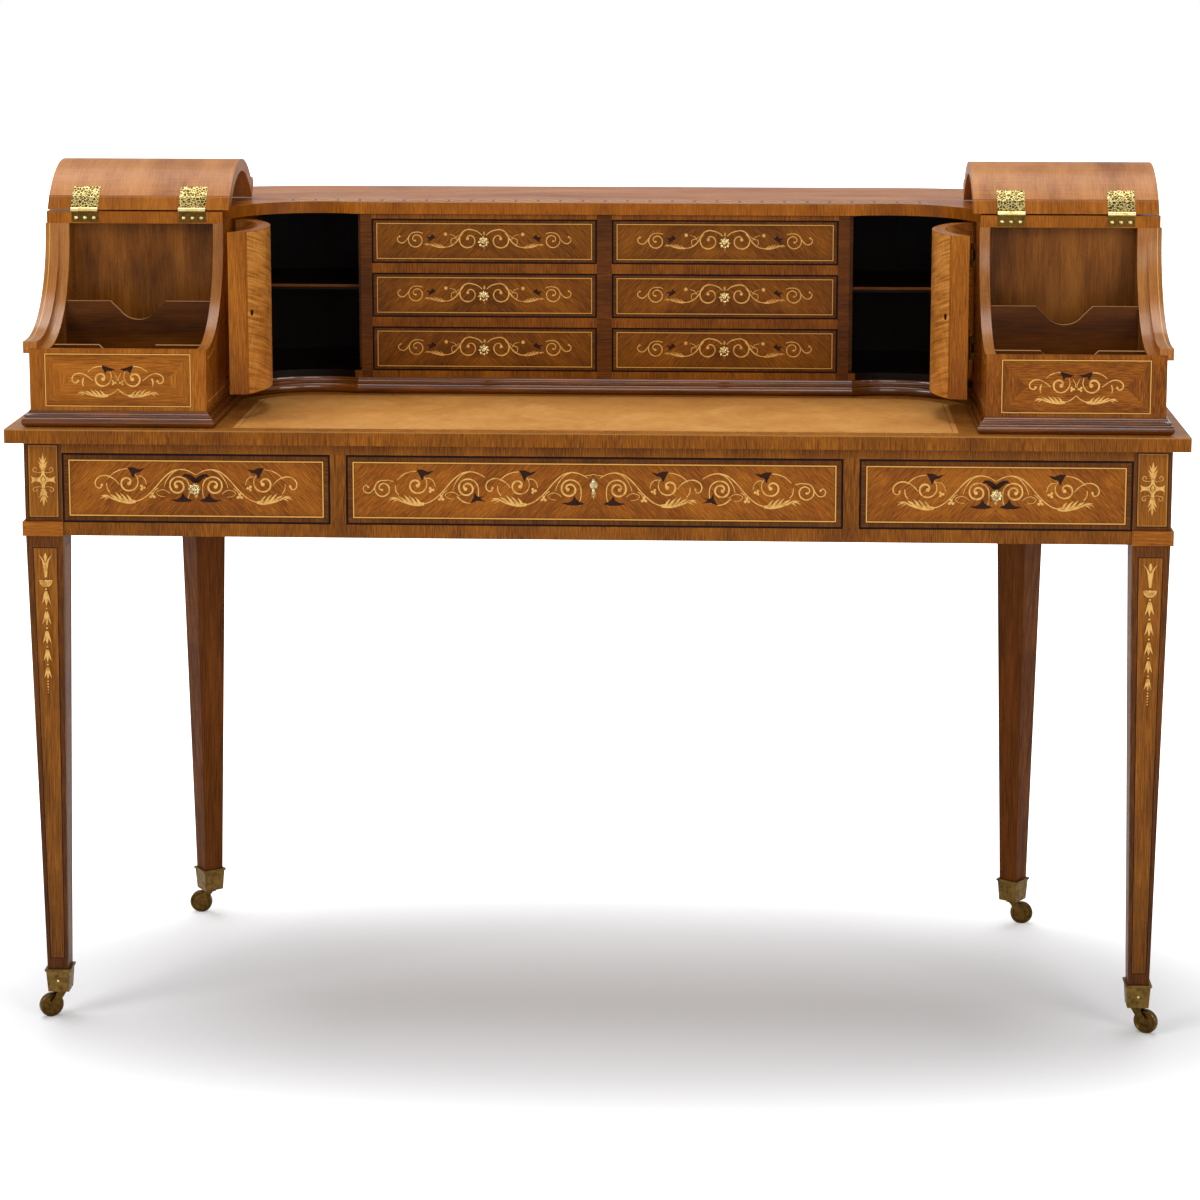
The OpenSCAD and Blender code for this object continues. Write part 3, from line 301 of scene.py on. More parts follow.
@dataclass(frozen=True)
class Timber:
    """Colours and grain of one wood."""

    light: str
    middle: str
    dark: str
    pore: str = "2a1206"
    streaks: float = 260.0
    run: float = 8.0
    pores: float = 0.8
    cloud: float = 0.5
    figure: float = 0.0
    contrast: float = 1.3

    CLOUDS, RIPPLES, DASHES, FLECKS = (6, 22), (330, 22), (110, 1500), (60, 240)

    def grain(self, r: Recipe, along: Value, across: Value, depth: Value | float) -> Skin:
        """Draws the wood.

        Args:
            r: the recipe to add to.
            along: distance along the grain, in metres.
            across: distance across the grain, in metres.
            depth: the third coordinate, in metres.

        Returns:
            The wood's colour and height.
        """

        def flow(lengthwise: float, crosswise: float) -> Value:
            """The place in the wood, in patterns per metre along and across the grain."""
            return r.vector(along * lengthwise, across * crosswise, depth * crosswise)

        streak = r.noise(flow(self.run, self.streaks), 4.0, 0.68, 0.3)
        broad = r.noise(flow(*self.CLOUDS), 3.0, 0.55)
        tone = (streak - 0.5) * self.contrast + (broad - 0.5) * self.cloud * 1.6 + 0.5
        if self.figure:
            wave = r.noise(flow(*self.RIPPLES), 2.0, 0.5, 0.4)
            tone = tone + (wave - 0.5) * self.figure
        dash = r.noise(flow(*self.DASHES), 2.0, 0.5).rise(0.60, 0.70)
        fleck = r.noise(flow(*self.FLECKS), 2.0, 0.6).rise(0.72, 0.80)
        marks = (dash * 0.55).high(fleck) * self.pores
        colour = r.ramp(tone, (0.20, self.dark), (0.5, self.middle), (0.80, self.light))
        skin = Skin(r, colour, tone * 0.4 - marks)
        skin.mark(self.pore, marks)
        return skin


@dataclass(frozen=True)
class Polish:
    """Gloss of a polished surface."""

    roughness: float = 0.36
    spread: float = 0.10
    gloss: float = 0.12
    coat: float = 0.02
    coat_roughness: float = 0.16
    bump: float = 0.10

    def lay(self, skin: Skin) -> None:
        """Feeds the shader of the skin's recipe with its colour and height."""
        r = skin.r
        smear = r.noise(r.place(22), 3.0, 0.6)
        r.feed("Base Color", skin.colour)
        r.feed("Roughness", (smear - 0.5) * self.spread * 2 + self.roughness - skin.height * 0.05)
        r.feed("Specular IOR Level", self.gloss)
        r.feed("Coat Weight", self.coat)
        r.feed("Coat Roughness", self.coat_roughness)
        r.bump(skin.height, self.bump, 0.0006)


HONEY = Timber("ba7422", "995712", "6d3905", streaks=700, run=34, cloud=0.45)
SLAB = Timber("a26014", "7f4708", "522902", streaks=700, run=40, cloud=0.5, contrast=1.6)
RAIL = Timber("a06016", "7d460a", "502902", streaks=700, run=40, cloud=0.45, contrast=1.6)
FIELD = Timber("ac6819", "88490a", "5a2f03", streaks=800, run=60, cloud=0.55, contrast=1.6)
SMALL_FIELD = Timber("9a5e12", "784406", "4b2a01", streaks=800, run=60, cloud=0.55, contrast=1.6)
CROSS = Timber("7a450e", "5a2f05", "371b01", streaks=700, run=34, cloud=0.4)
FIGURED = Timber("e8a652", "cb883d", "9a5e22", streaks=420, run=26, cloud=0.5, figure=1.15, contrast=0.6)
LID = Timber(
    "c98748", "b27238", "8e5222", streaks=520, run=30, cloud=0.9, figure=0.3, pores=0.5, contrast=0.7
)
CROWN = Timber("c8803c", "b2682a", "88481a", streaks=520, run=24, cloud=0.7, pores=0.5, contrast=0.9)
CREST = Timber("bd8142", "a5682c", "7a471a", streaks=560, run=20, cloud=0.6, contrast=0.9)
LEG = Timber("aa6a1c", "884f0f", "5b3205", streaks=620, run=22, cloud=0.6)
BACK_LEG = Timber("824816", "62340b", "402005", streaks=560, run=18, cloud=0.6)
INNER = Timber("9a5f22", "7c4815", "552f08", streaks=560, run=26, cloud=0.9, contrast=0.8)
DARK = Timber("6a3a0c", "532a06", "381a02", streaks=560, run=24, cloud=0.8, contrast=0.8)
# Nearly black wood for the cupboards' insides: painted shade.
PAINTED_SHADE_WOOD = Timber("120803", "0c0502", "060201", streaks=300, run=8, cloud=0.5)
MAHOGANY = Timber("8c4c10", "663508", "3c1e04", streaks=500, run=14, cloud=0.5)
DRAWER_SIDES = Timber("b58450", "a0703d", "84582c", streaks=400, run=12, cloud=0.5)

BOX_LINE = "dca64e"
# Near black: the inlaid black lines, other darkening, and the painted shade in the gaps around drawer
# fronts.
BLACK_LINE_AND_SHADE = "080301"


class Finish:
    """Base of the finishes, which are dataclasses with a name."""

    name: str

    def material(self) -> bpy.types.Material:
        """Builds the finish.

        Returns:
            Its material.
        """
        r = Recipe(self.name)
        self.paint(r)
        return r.material

    def paint(self, r: Recipe) -> None:
        """Adds the finish to an empty recipe."""
        raise NotImplementedError


@dataclass(frozen=True)
class Veneer(Finish):
    """A finish made of one wood, with its grain along one direction."""

    name: str
    wood: Timber
    polish: Polish = Polish()
    along: str = "z"
    seed: float = 0.0

    def paint(self, r: Recipe) -> None:
        """Lays the wood in one piece."""
        ways = {
            "z": (r.z, abs(r.x) - r.y, 0.3 + self.seed),
            "x": (r.x, r.z, r.y + self.seed),
            "y": (r.y, r.x, r.z + self.seed),
            "run": (r.x + r.y, r.z, 0.2 + self.seed),
        }
        self.polish.lay(self.wood.grain(r, *ways[self.along]))


class Match(Enum):
    """How the leaves of a veneered field are matched."""

    DIAGONAL = "diagonal"
    QUARTERED = "quartered"


@dataclass(frozen=True)
class PanelVeneer(Finish):
    """A panel's front: banding, a boxwood line and a matched field, with painted shade along its edges,
    over plain wood behind it.
    """

    name: str
    centre_x: float
    centre_z: float
    half_w: float
    half_h: float
    border_x: float
    border_z: float
    back_y: float
    match: Match
    field: Timber = FIELD
    band: Timber = CROSS
    behind: Timber = DRAWER_SIDES
    thick: float = 0.0179
    line_w: float = 0.0014
    rim: float = 0.0018
    line_share: float = 1.0
    seed: float = 0.0

    SLANT = 0.7071
    SHADE, SHADE_WIDTH = 0.18, 0.012

    def paint(self, r: Recipe) -> None:
        """Lays the banding, the field, their lines and a dark rim of painted shade that widens the gap
        around the front.
        """
        side = abs(r.x - self.centre_x)
        edge_x = self.half_w - side
        edge_z = self.half_h - abs(r.z - self.centre_z)
        in_x = edge_x - self.border_x
        in_z = edge_z - self.border_z
        inside = in_x.low(in_z)
        share = inside.over(0.0)
        if self.match is Match.DIAGONAL:
            field_ways = (side - r.z) * self.SLANT, (side + r.z) * self.SLANT, 0.1 + self.seed
            end_band = (in_z - in_x).over(0.0)
            band_ways = r.choose(r.z, r.x, end_band), r.choose(r.x, r.z, end_band)
            back_ways = r.y, r.z, r.x
        else:
            ends = (edge_z - edge_x + 0.012).over(0.0)
            field_ways = r.choose(r.x, r.z, ends), r.choose(r.z, side, ends), ends * 0.2 + self.seed
            band_ways = r.z, r.x
            back_ways = r.z, r.x, r.y
        band = self.band.grain(r, *band_ways, 0.4 + self.seed)
        skin = band.under(self.field.grain(r, *field_ways), share)
        shade = inside.rise(0.0, self.SHADE_WIDTH) * -self.SHADE + self.SHADE
        skin.mark(BLACK_LINE_AND_SHADE, shade * share)
        skin.mark(BOX_LINE, inside.line(0.0, self.line_w) * self.line_share)
        skin.mark(BLACK_LINE_AND_SHADE, inside.line(-self.line_w * 0.95, 0.0005) * 0.75)
        skin.mark(BLACK_LINE_AND_SHADE, inside.line(self.line_w * 0.95, 0.0004) * 0.6)
        # Painted shade: a near-black rim along the front's edges deepens the shadow of the gap around it.
        if self.rim:
            face = 1 - r.y.over(self.back_y - self.thick + 0.0008)
            rim = 1 - edge_x.low(edge_z).rise(self.rim * 0.8, self.rim * 1.2)
            skin.mark(BLACK_LINE_AND_SHADE, rim * face)
        front = 1 - r.y.over(self.back_y)
        Polish().lay(self.behind.grain(r, *back_ways).under(skin, front))


@dataclass(frozen=True)
class SlabVeneer(Finish):
    """The writing top: cross-grained edge, banded top face."""

    name: str = "top_banding"
    front_band: float = 0.023
    mitre: float = 0.715 + HALF_DEPTH
    face_z: float = 0.7797
    highlight_z: float = 0.7792

    def paint(self, r: Recipe) -> None:
        """Lays the edge, the mitred banding and a painted highlight along the top arris."""
        edge = SLAB.grain(r, r.z, abs(r.x) - r.y, 0.1)
        in_front = 1 - r.y.over(-HALF_DEPTH + self.front_band)
        beyond = (abs(r.x) - r.y).over(self.mitre)
        share = in_front * (1 - beyond)
        face = HONEY.grain(r, r.choose(r.x, r.y, share), r.choose(r.y, r.x, share), 0.2)
        skin = edge.under(face, r.z.over(self.face_z))
        # Painted highlight: a pale line along the top arris, standing for the light that the edge catches.
        skin.mark("c99a5a", r.z.line(self.highlight_z, 0.0016) * 0.35)
        Polish(roughness=0.30).lay(skin)


@dataclass(frozen=True)
class LegVeneer(Finish):
    """A front leg and its post: a banded panel on each outer face, edged with a dark and a light line."""

    name: str = "front_leg_veneer"
    ankle_z: float = 0.070
    post_half: float = 0.024
    post_z: float = 0.641
    collar: float = 0.018
    top_z: float = 0.762

    def paint(self, r: Recipe) -> None:
        """Lays the panels, the collar below the post, rubbed edges and the darker foot."""
        half = ((r.z - self.ankle_z) * LEG_SLOPE + ANKLE).low(self.post_half)
        from_x = half - abs(abs(r.x) - LEG_X)
        from_y = half - abs(r.y - LEG_Y)
        edge = from_x.high(from_y)
        post = r.z.over(self.post_z + self.collar)
        ends = (r.z - self.post_z - self.collar).low(self.top_z - r.z)
        leg_ends = (r.z - self.ankle_z - 0.006).low(self.post_z - 0.008 - r.z)
        inside = edge.low(r.choose(leg_ends, ends, post)) - r.choose(half * 0.36, 0.0052, post)
        band = CROSS.grain(r, r.z, abs(r.x) - r.y, 0.9)
        skin = band.under(LEG.grain(r, r.z, abs(r.x) - r.y, 0.5), inside.over(0.0))
        skin.mark(BLACK_LINE_AND_SHADE, inside.line(-0.0002, 0.0011) * 0.9)
        skin.mark(BOX_LINE, inside.line(0.0011, 0.0009) * post * 0.35)
        ring = HONEY.grain(r, r.x + r.y, r.z, 0.3)
        skin = skin.under(ring, r.z.over(self.post_z - 0.0008) * (1 - post))
        worn = r.noise(r.vector(r.x * 90, r.y * 90, r.z * 30), 3.0, 0.6).rise(0.45, 0.75)
        skin.mark("b98448", (1 - edge.rise(0.0, 0.0014)) * worn * 0.45)
        skin.mark(BLACK_LINE_AND_SHADE, (1 - r.z.rise(0.05, 0.50)) * 0.34)
        Polish(roughness=0.36).lay(skin)


@dataclass(frozen=True)
class CheekVeneer(Finish):
    """Sides of the letter towers: shaped panel with a line, lighter polished slope."""

    name: str = "tower_side_veneer"
    arc_y: float = deep(44)
    arc_z: float = 1.012
    arc_r: float = 0.134
    band_x: float = 0.7018
    band_lift: float = 0.0095
    string_x: float = 0.7135
    ledge_z: float = 0.878
    inner_x: float = 0.4995
    outer_x: float = 0.6885

    def paint(self, r: Recipe) -> None:
        """Lays the sides, the slope with its string, the panel's line and the plain inside."""
        run_y = r.y - self.arc_y
        run_z = r.z - self.arc_z
        reach = run_y.reach(run_z)
        band_reach = run_y.reach(run_z - self.band_lift)
        on_band = abs(r.x).over(self.band_x)
        slope = 1 - abs(reach - self.arc_r).rise(0.0003, 0.0006)
        slope = slope.high((1 - abs(band_reach - self.arc_r).rise(0.0003, 0.0006)) * on_band)
        ledge = (1 - abs(r.z - self.ledge_z).rise(0.0002, 0.0004)) * (1 - r.y.over(self.arc_y))
        slope = slope.high(ledge)
        turn = run_z.maths("ARCTAN2", run_y) * self.arc_r
        skin = HONEY.grain(r, r.z, r.y, abs(r.x)).under(CREST.grain(r, turn, r.x, 0.2), slope)
        skin.mark(BOX_LINE, abs(r.x).line(self.string_x, 0.0010) * on_band * slope)
        inset = (reach - self.arc_r - 0.012).low(run_y * -1 + 0.125).low(r.z - 0.811).low(run_y + 0.066)
        beyond = abs(r.x).over(self.inner_x)
        skin.mark(BOX_LINE, inset.line(0.0, 0.0015) * (1 - slope) * (1 - beyond))
        within = beyond * (1 - abs(r.x).over(self.outer_x)) * (1 - slope)
        skin.mark(INNER.grain(r, r.z, r.y, 0.7).colour, within)
        Polish(roughness=0.30, gloss=0.3, coat=0.15).lay(skin)


@dataclass(frozen=True)
class CrownVeneer(Finish):
    """The gallery's top board: cross-grained edge, long-grained top with an inlaid chain."""

    name: str = "gallery_top_veneer"
    face_z: float = 1.0367
    chain_y: float = deep(346)
    reach: float = 0.43
    waves: float = 105.0
    swing: float = 0.012
    strand: float = 0.0036

    def paint(self, r: Recipe) -> None:
        """Lays the edge, the face and the chain of two crossing strands with buds between."""
        top = r.z.over(self.face_z)
        skin = HONEY.grain(r, r.z, abs(r.x) - r.y, 0.5).under(CROWN.grain(r, r.x, r.y, 0.2), top)
        wave = (r.x * self.waves).maths("SINE")
        off = r.y - self.chain_y
        bend = wave * self.swing
        strands = (off - bend).line(0.0, self.strand).high((off + bend).line(0.0, self.strand))
        crossing = 1 - abs(wave).rise(0.16, 0.24)
        buds = crossing * (1 - abs(off).rise(0.0050, 0.0064))
        here = top * (1 - abs(r.x).over(self.reach))
        skin.mark("5a2c10", (1 - abs(off).rise(0.0170, 0.0180)) * here * 0.35)
        skin.mark("e6bf88", strands * here)
        skin.mark("2a1208", buds * here)
        Polish(roughness=0.30).lay(skin)


@dataclass(frozen=True)
class BackVeneer(Finish):
    """The curved back wall: veneered outside, painted nearly black as shade inside the cupboards."""

    name: str = "gallery_back_veneer"
    centre_x: float = 0.400
    centre_y: float = deep(240)
    middle_r: float = 0.304

    def paint(self, r: Recipe) -> None:
        """Lays the inside in painted shade and, beyond the middle of the wall, the outside."""
        from_x = (abs(r.x) - self.centre_x).high(0.0)
        from_y = (r.y - self.centre_y).high(0.0)
        outside = from_x.reach(from_y).over(self.middle_r)
        # Painted shade: inside the cupboards the wall is nearly black.
        inner = PAINTED_SHADE_WOOD.grain(r, r.z, abs(r.x) - r.y, 0.8)
        skin = inner.under(HONEY.grain(r, r.z, abs(r.x) - r.y, 0.3), outside)
        Polish(roughness=0.45, gloss=0.06).lay(skin)


@dataclass(frozen=True)
class FloorVeneer(Finish):
    """The gallery's floor: veneered front edge below the drawers, painted nearly black as shade in the
    cupboards.
    """

    name: str = "gallery_floor_wood"
    half_w: float = 0.335
    edge_y: float = deep(323)

    def paint(self, r: Recipe) -> None:
        """Lays the floor in painted shade and its front edge."""
        # Painted shade: in the cupboards the floor is nearly black; its front edge keeps lit veneer.
        share = (1 - r.y.over(self.edge_y)) * (1 - abs(r.x).over(self.half_w))
        Polish().lay(PAINTED_SHADE_WOOD.grain(r, r.x, r.y, 0.8).under(RAIL.grain(r, r.z, r.x, 0.3), share))


@dataclass(frozen=True)
class PartitionWood(Finish):
    """The letter partitions: dark faces, with painted light on what faces up, which lightens their top
    edge.
    """

    name: str = "letter_partition_wood"

    def paint(self, r: Recipe) -> None:
        """Lays dark wood and paints light onto what faces up."""
        skin = DARK.grain(r, r.x, r.z, r.y)
        # Painted light: faces that look up are lightened, so the top edges read as lit.
        skin.mark("cf9a68", r.facing(2).rise(0.25, 0.5) * 0.85)
        Polish(roughness=0.34).lay(skin)


@dataclass(frozen=True)
class ShelfWood(Finish):
    """The shelves of the cupboards: painted nearly black as shade, with a lit lipping along their front
    edge.
    """

    name: str = "cupboard_wood"
    lip: float = 0.0035

    def paint(self, r: Recipe) -> None:
        """Lays the shelf in painted shade and the lipping on what faces ahead near its top."""
        # Painted shade: the shelf is nearly black, and only the top of its front edge keeps lit wood.
        ahead = (r.facing(1) * -1).rise(0.25, 0.5)
        share = ahead * r.z.over(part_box("cupboard_shelves")[1][2] - self.lip)
        skin = PAINTED_SHADE_WOOD.grain(r, r.x, r.z, r.y).under(INNER.grain(r, r.x, r.z, r.y), share)
        Polish(roughness=0.5, coat=0.0).lay(skin)


@dataclass(frozen=True)
class LidVeneer(Finish):
    """The curved lids: a cross-grained strip along the hinges, figured wood above it."""

    name: str = "lid_veneer"
    fold_y: float = deep(200)
    fold_z: float = 1.0565
    arc_y: float = deep(245)
    arc_z: float = 0.967
    radius: float = 0.125

    def paint(self, r: Recipe) -> None:
        """Lays the figured wood, the strip and the line between them."""
        turn = (r.z - self.arc_z).maths("ARCTAN2", r.y - self.arc_y) * self.radius
        front = 1 - r.y.over(self.fold_y)
        low = (1 - r.z.over(self.fold_z)) * front
        skin = LID.grain(r, turn, r.x, 0.3).under(HONEY.grain(r, r.z, r.x, 0.6), low)
        skin.mark("5b3414", r.z.line(self.fold_z, 0.0008) * 0.7 * front)
        Polish(roughness=0.38, gloss=0.2).lay(skin)


@dataclass(frozen=True)
class DoorVeneer(Finish):
    """A curved door, open at rest: diagonal figure on its faces, plain strips at its ends."""

    name: str
    slant: float = 17.0
    rim_low: float = 0.8116
    rim_high: float = 1.0184

    def paint(self, r: Recipe) -> None:
        """Lays the figure, the strips and the line between them."""
        sweep = r.y * -1
        slant = math.radians(self.slant)
        along = sweep * math.cos(slant) + r.z * math.sin(slant)
        across = sweep * -math.sin(slant) + r.z * math.cos(slant)
        end = 1 - r.y.rise(deep(101.2), deep(101.8))
        rim = r.z.over(self.rim_high).high(1 - r.z.over(self.rim_low))
        skin = FIGURED.grain(r, across, along, 0.2).under(HONEY.grain(r, r.z, r.x, 0.4), end.high(rim))
        skin.mark("4a2a12", r.y.line(deep(102.2), 0.0007) * (1 - rim) * 0.8)
        Polish(roughness=0.33).lay(skin)


@dataclass(frozen=True)
class Leather(Finish):
    """Waxed hide with a blind-tooled line near its edge."""

    name: str = "tan_leather"
    half_w: float = 0.4555
    front_y: float = deep(23)
    back_y: float = deep(297)
    tool_in: float = 0.0075

    def paint(self, r: Recipe) -> None:
        """Colours the hide, tools its line and gives it pores."""
        mottle = r.noise(r.place(12), 6.0, 0.6, 0.6)
        fine = r.noise(r.vector(r.x * 70, r.y * 420, 0.0), 4.0, 0.6)
        colour = r.ramp(mottle * 0.4 + fine * 0.6, (0.34, "b4752f"), (0.52, "cf9349"), (0.70, "e2ae66"))
        edge = (self.half_w - abs(r.x)).low(r.y - self.front_y).low(self.back_y - r.y)
        tool = edge.line(self.tool_in, 0.0012)
        pores = r.cells(r.place(900)).rise(0.0, 0.25)
        skin = Skin(r, colour, pores * 0.6 + mottle * 0.5 - tool * 1.5)
        skin.mark("7a4a1c", tool * 0.7)
        skin.mark("5c3413", (1 - edge.rise(0.0, 0.0022)) * 0.5)
        r.feed("Base Color", skin.colour)
        r.feed("Roughness", mottle * 0.25 + 0.38)
        r.feed("Specular IOR Level", 0.25)
        r.bump(skin.height, 0.25, 0.0004)


@dataclass(frozen=True)
class Brass(Finish):
    """Aged brass; a worked brass has a chased pattern, and hinge leaves can have a painted highlight on the
    knuckle of each hinge.
    """

    name: str
    bright: str
    aged: str
    roughness: float
    worked: bool = False
    cell_scale: float = 260.0
    hollow_from: float = 0.07
    knuckle_highlight: str = ""
    pin_y: float = deep(174.2)
    pin_z: float = 1.0395
    pin_reach: float = 0.0032

    def paint(self, r: Recipe) -> None:
        """Colours the metal, its tarnish and its hollows, and paints any knuckle highlight."""
        tarnish = r.noise(r.place(160), 5.0, 0.6).rise(0.35, 0.72)
        colour = r.blend(rgb(self.bright), rgb(self.aged), tarnish * 0.75)
        leaf = (r.y - self.pin_y).reach(r.z - self.pin_z).over(self.pin_reach)
        if self.worked:
            wander = r.noise(r.place(300), 2.0, 0.5, 0.8)
            scale = self.cell_scale
            at = r.vector(r.x * scale + wander * 1.2, r.y * scale - wander * 1.2, r.z * scale + wander)
            hollow = r.cells(at).rise(self.hollow_from, self.hollow_from + 0.04) * leaf
            colour = r.blend(colour, rgb("2a1e0a"), hollow * 0.92)
            r.bump(hollow * -1, 0.7, 0.0006)
        else:
            r.bump(r.noise(r.place(900), 2.0), 0.06, 0.0004)
        # Painted highlight: the knuckles around the pin are brighter than the leaf.
        if self.knuckle_highlight:
            colour = r.blend(rgb(self.knuckle_highlight), colour, leaf)
        r.feed("Base Color", colour)
        r.feed("Metallic", 1.0)
        r.feed("Roughness", tarnish * 0.22 + self.roughness)


@dataclass(frozen=True)
class InlayWood(Finish):
    """Thin inlaid wood, shaded here and there as with hot sand."""

    name: str
    light: str
    shade: str

    def paint(self, r: Recipe) -> None:
        """Colours the wood and its fibres."""
        cloud = r.noise(r.place(130), 3.0, 0.6).rise(0.42, 0.72)
        fibre = r.noise(r.vector(r.x * 300, r.y * 300, r.z * 1600), 2.0)
        skin = Skin(r, r.blend(rgb(self.light), rgb(self.shade), cloud * 0.75), fibre)
        skin.mark(self.shade, fibre * 0.2)
        Polish(roughness=0.34, bump=0.04).lay(skin)


def smooth_path(points: Sequence[Point], steps: int = 5) -> list[Vector]:
    """Points on a smooth curve through the given ones.

    Args:
        points: what the curve passes through.
        steps: new points per span.

    Returns:
        The curve's points in order.
    """
    known = [Vector(p) for p in points]
    known = [known[0] * 2 - known[1], *known, known[-1] * 2 - known[-2]]
    made = []
    for a, b, c, d in zip(known, known[1:], known[2:], known[3:]):
        for i in range(steps):
            t = i / steps
            bend = (2 * a - 5 * b + 4 * c - d) * t**2
            made.append(0.5 * (2 * b + (c - a) * t + bend + (3 * b - a - 3 * c + d) * t**3))
    made.append(known[-2])
    return made


def spiral(
    centre: Point, start: float, end: float, radii: Sequence[float], step: float = 22.0
) -> list[Point]:
    """Points of a scroll.

    Args:
        centre: middle of the scroll.
        start: angle of its first point, in degrees.
        end: angle of its last point, in degrees.
        radii: distances from the middle, evenly spread over the turn.
        step: about how many degrees lie between two points.

    Returns:
        The points in order.
    """
    count = max(8, int(abs(end - start) / step))
    made = []
    for i in range(count + 1):
        t = i / count
        place = t * (len(radii) - 1)
        k = min(int(place), len(radii) - 2)
        radius = radii[k] + (radii[k + 1] - radii[k]) * (place - k)
        angle = math.radians(start + (end - start) * t)
        made.append((centre[0] + radius * math.cos(angle), centre[1] + radius * math.sin(angle)))
    return made


def moved(points: Sequence[Point], shift: float) -> list[Point]:
    """Moves points outwards by a shift."""
    return [(u + shift, v) for u, v in points]


class Inlay:
    """Flat ornament drawn in millimetres on a plane, u to the right and v up."""

    LIGHT, DARK, SHADE = 0, 1, 2
    LINE_WEIGHT, THICKNESS = 1.15, 0.22
    STEP, STEPS = 0.006, 12
    VEIN_WIDTH, VEIN_LIFT = 0.018, 0.08
    DISC_SIDES = 14
    PETAL = ((0.0, -0.12), (0.55, -0.42), (0.95, -0.22), (0.95, 0.22), (0.55, 0.42), (0.0, 0.12))
    ACANTHUS = (
        ([(0, 0), (0.2, 0.0), (0.46, 0.06), (0.69, 0.135), (0.87, 0.165)], 0.18),
        ([(0.11, 0.0), (0.17, 0.12), (0.262, 0.258)], 0.085),
        ([(0.245, 0.03), (0.32, 0.155), (0.435, 0.298)], 0.09),
        ([(0.38, 0.06), (0.465, 0.18), (0.573, 0.333)], 0.09),
        ([(0.53, 0.11), (0.633, 0.19), (0.744, 0.262)], 0.085),
        ([(0.69, 0.15), (0.85, 0.21), (0.99, 0.195)], 0.06),
        ([(0.72, 0.145), (0.88, 0.169), (1.018, 0.09)], 0.06),
        ([(0.64, 0.12), (0.79, 0.129), (0.90, 0.03)], 0.055),
    )
    ACANTHUS_VEINS = (
        [(0.17, 0.0), (0.215, 0.07), (0.28, 0.15)],
        [(0.30, 0.02), (0.35, 0.09), (0.42, 0.17)],
        [(0.44, 0.06), (0.50, 0.13), (0.57, 0.20)],
        [(0.60, 0.11), (0.67, 0.16), (0.75, 0.20)],
        [(0.70, 0.10), (0.78, 0.15), (0.86, 0.16)],
    )
    PALMETTE_SPINE = ((0.0, 0.0), (0.05, 0.2), (0.09, 0.5), (0.05, 0.8), (0.0, 1.0))
    PALMETTE = (
        ([(0.02, 0.02), (0.11, 0.08), (0.24, 0.25)], 0.10),
        ([(0.02, 0.10), (0.13, 0.28), (0.29, 0.50)], 0.13),
        ([(0.02, 0.36), (0.12, 0.54), (0.22, 0.78)], 0.11),
    )

    def __init__(self) -> None:
        """Starts an empty ornament."""
        self.bm = bmesh.new()
        self.shapes = 0

    def level(self) -> float:
        """A height of its own for each shape, so that overlapping shapes never share a plane."""
        self.shapes += 1
        return self.STEP * (self.shapes % self.STEPS)

    def stroke(
        self, points: Sequence[Point], wide: float, fine: float | None = None, ball: float = 0.0
    ) -> None:
        """Draws a line that swells along a smooth curve.

        Args:
            points: the curve.
            wide: width at its start.
            fine: width at its end, or the same as at its start.
            ball: radius of a ball at its end, or 0.
        """
        end = wide if fine is None else fine

        def width(t: float) -> float:
            """Width of the line at a share of its length."""
            swell = 0.75 + 0.25 * math.sin(math.pi * min(t * 1.2, 1.0))
            return (wide + (end - wide) * t) * swell * self.LINE_WEIGHT

        self.ribbon(points, width)
        if ball:
            self.disc(points[-1], ball)

    def petal(self, points: Sequence[Point], wide: float, tone: int = LIGHT, lift: float = 0.0) -> None:
        """Draws a curved petal with a belly and a point."""

        def width(t: float) -> float:
            """Width of the petal at a share of its length."""
            return wide * max(0.04, math.sin(math.pi * (0.12 + 0.88 * t) ** 0.8))

        self.ribbon(points, width, tone, lift)

    def ribbon(
        self, points: Sequence[Point], width: Callable[[float], float], tone: int = LIGHT, lift: float = 0.0
    ) -> None:
        """Draws a flat ribbon along a smooth curve.

        Args:
            points: the curve.
            width: gives the width at a share of the length.
            tone: light, dark or shading wood.
            lift: height above the ground of the inlay.
        """
        path = smooth_path(points)
        lift += self.level()
        pair: list[bmesh.types.BMVert] = []
        edge = None
        for i, point in enumerate(path):
            ahead = path[min(i + 1, len(path) - 1)] - path[max(i - 1, 0)]
            normal = Vector((-ahead.y, ahead.x)).normalized() * width(i / (len(path) - 1)) / 2
            spots = [(*(point + normal), lift), (*(point - normal), lift)]
            if edge is None:
                pair = [self.bm.verts.new(s) for s in spots]
                edge = self.bm.edges.new(pair)
                continue
            made = bmesh.ops.extrude_edge_only(self.bm, edges=[edge])["geom"]
            fresh = [g for g in made if isinstance(g, bmesh.types.BMVert)]
            if not any(e.other_vert(fresh[0]) is pair[0] for e in fresh[0].link_edges):
                fresh.reverse()
            for vert, spot in zip(fresh, spots):
                vert.co = spot
            pair = fresh
            edge = next(g for g in made if isinstance(g, bmesh.types.BMEdge) and set(g.verts) == set(fresh))
            for item in made:
                if isinstance(item, bmesh.types.BMFace):
                    item.material_index = tone

    def disc(self, centre: Point, radius: float) -> None:
        """Draws a round spot."""
        shape = {"radius": radius, "segments": self.DISC_SIDES}
        spot = Matrix.Translation((*centre, self.level()))
        bmesh.ops.create_circle(self.bm, cap_ends=True, matrix=spot, **shape)

    def leaf(self, outline: Sequence[Point], tone: int = LIGHT) -> None:
        """Draws a filled outline with the given corners."""
        height = self.level()
        verts = [self.bm.verts.new((u, v, height)) for u, v in outline]
        edges = [self.bm.edges.new(p) for p in zip(verts, verts[1:] + verts[:1])]
        for item in bmesh.ops.triangle_fill(self.bm, edges=edges, use_beauty=True)["geom"]:
            if isinstance(item, bmesh.types.BMFace):
                item.material_index = tone

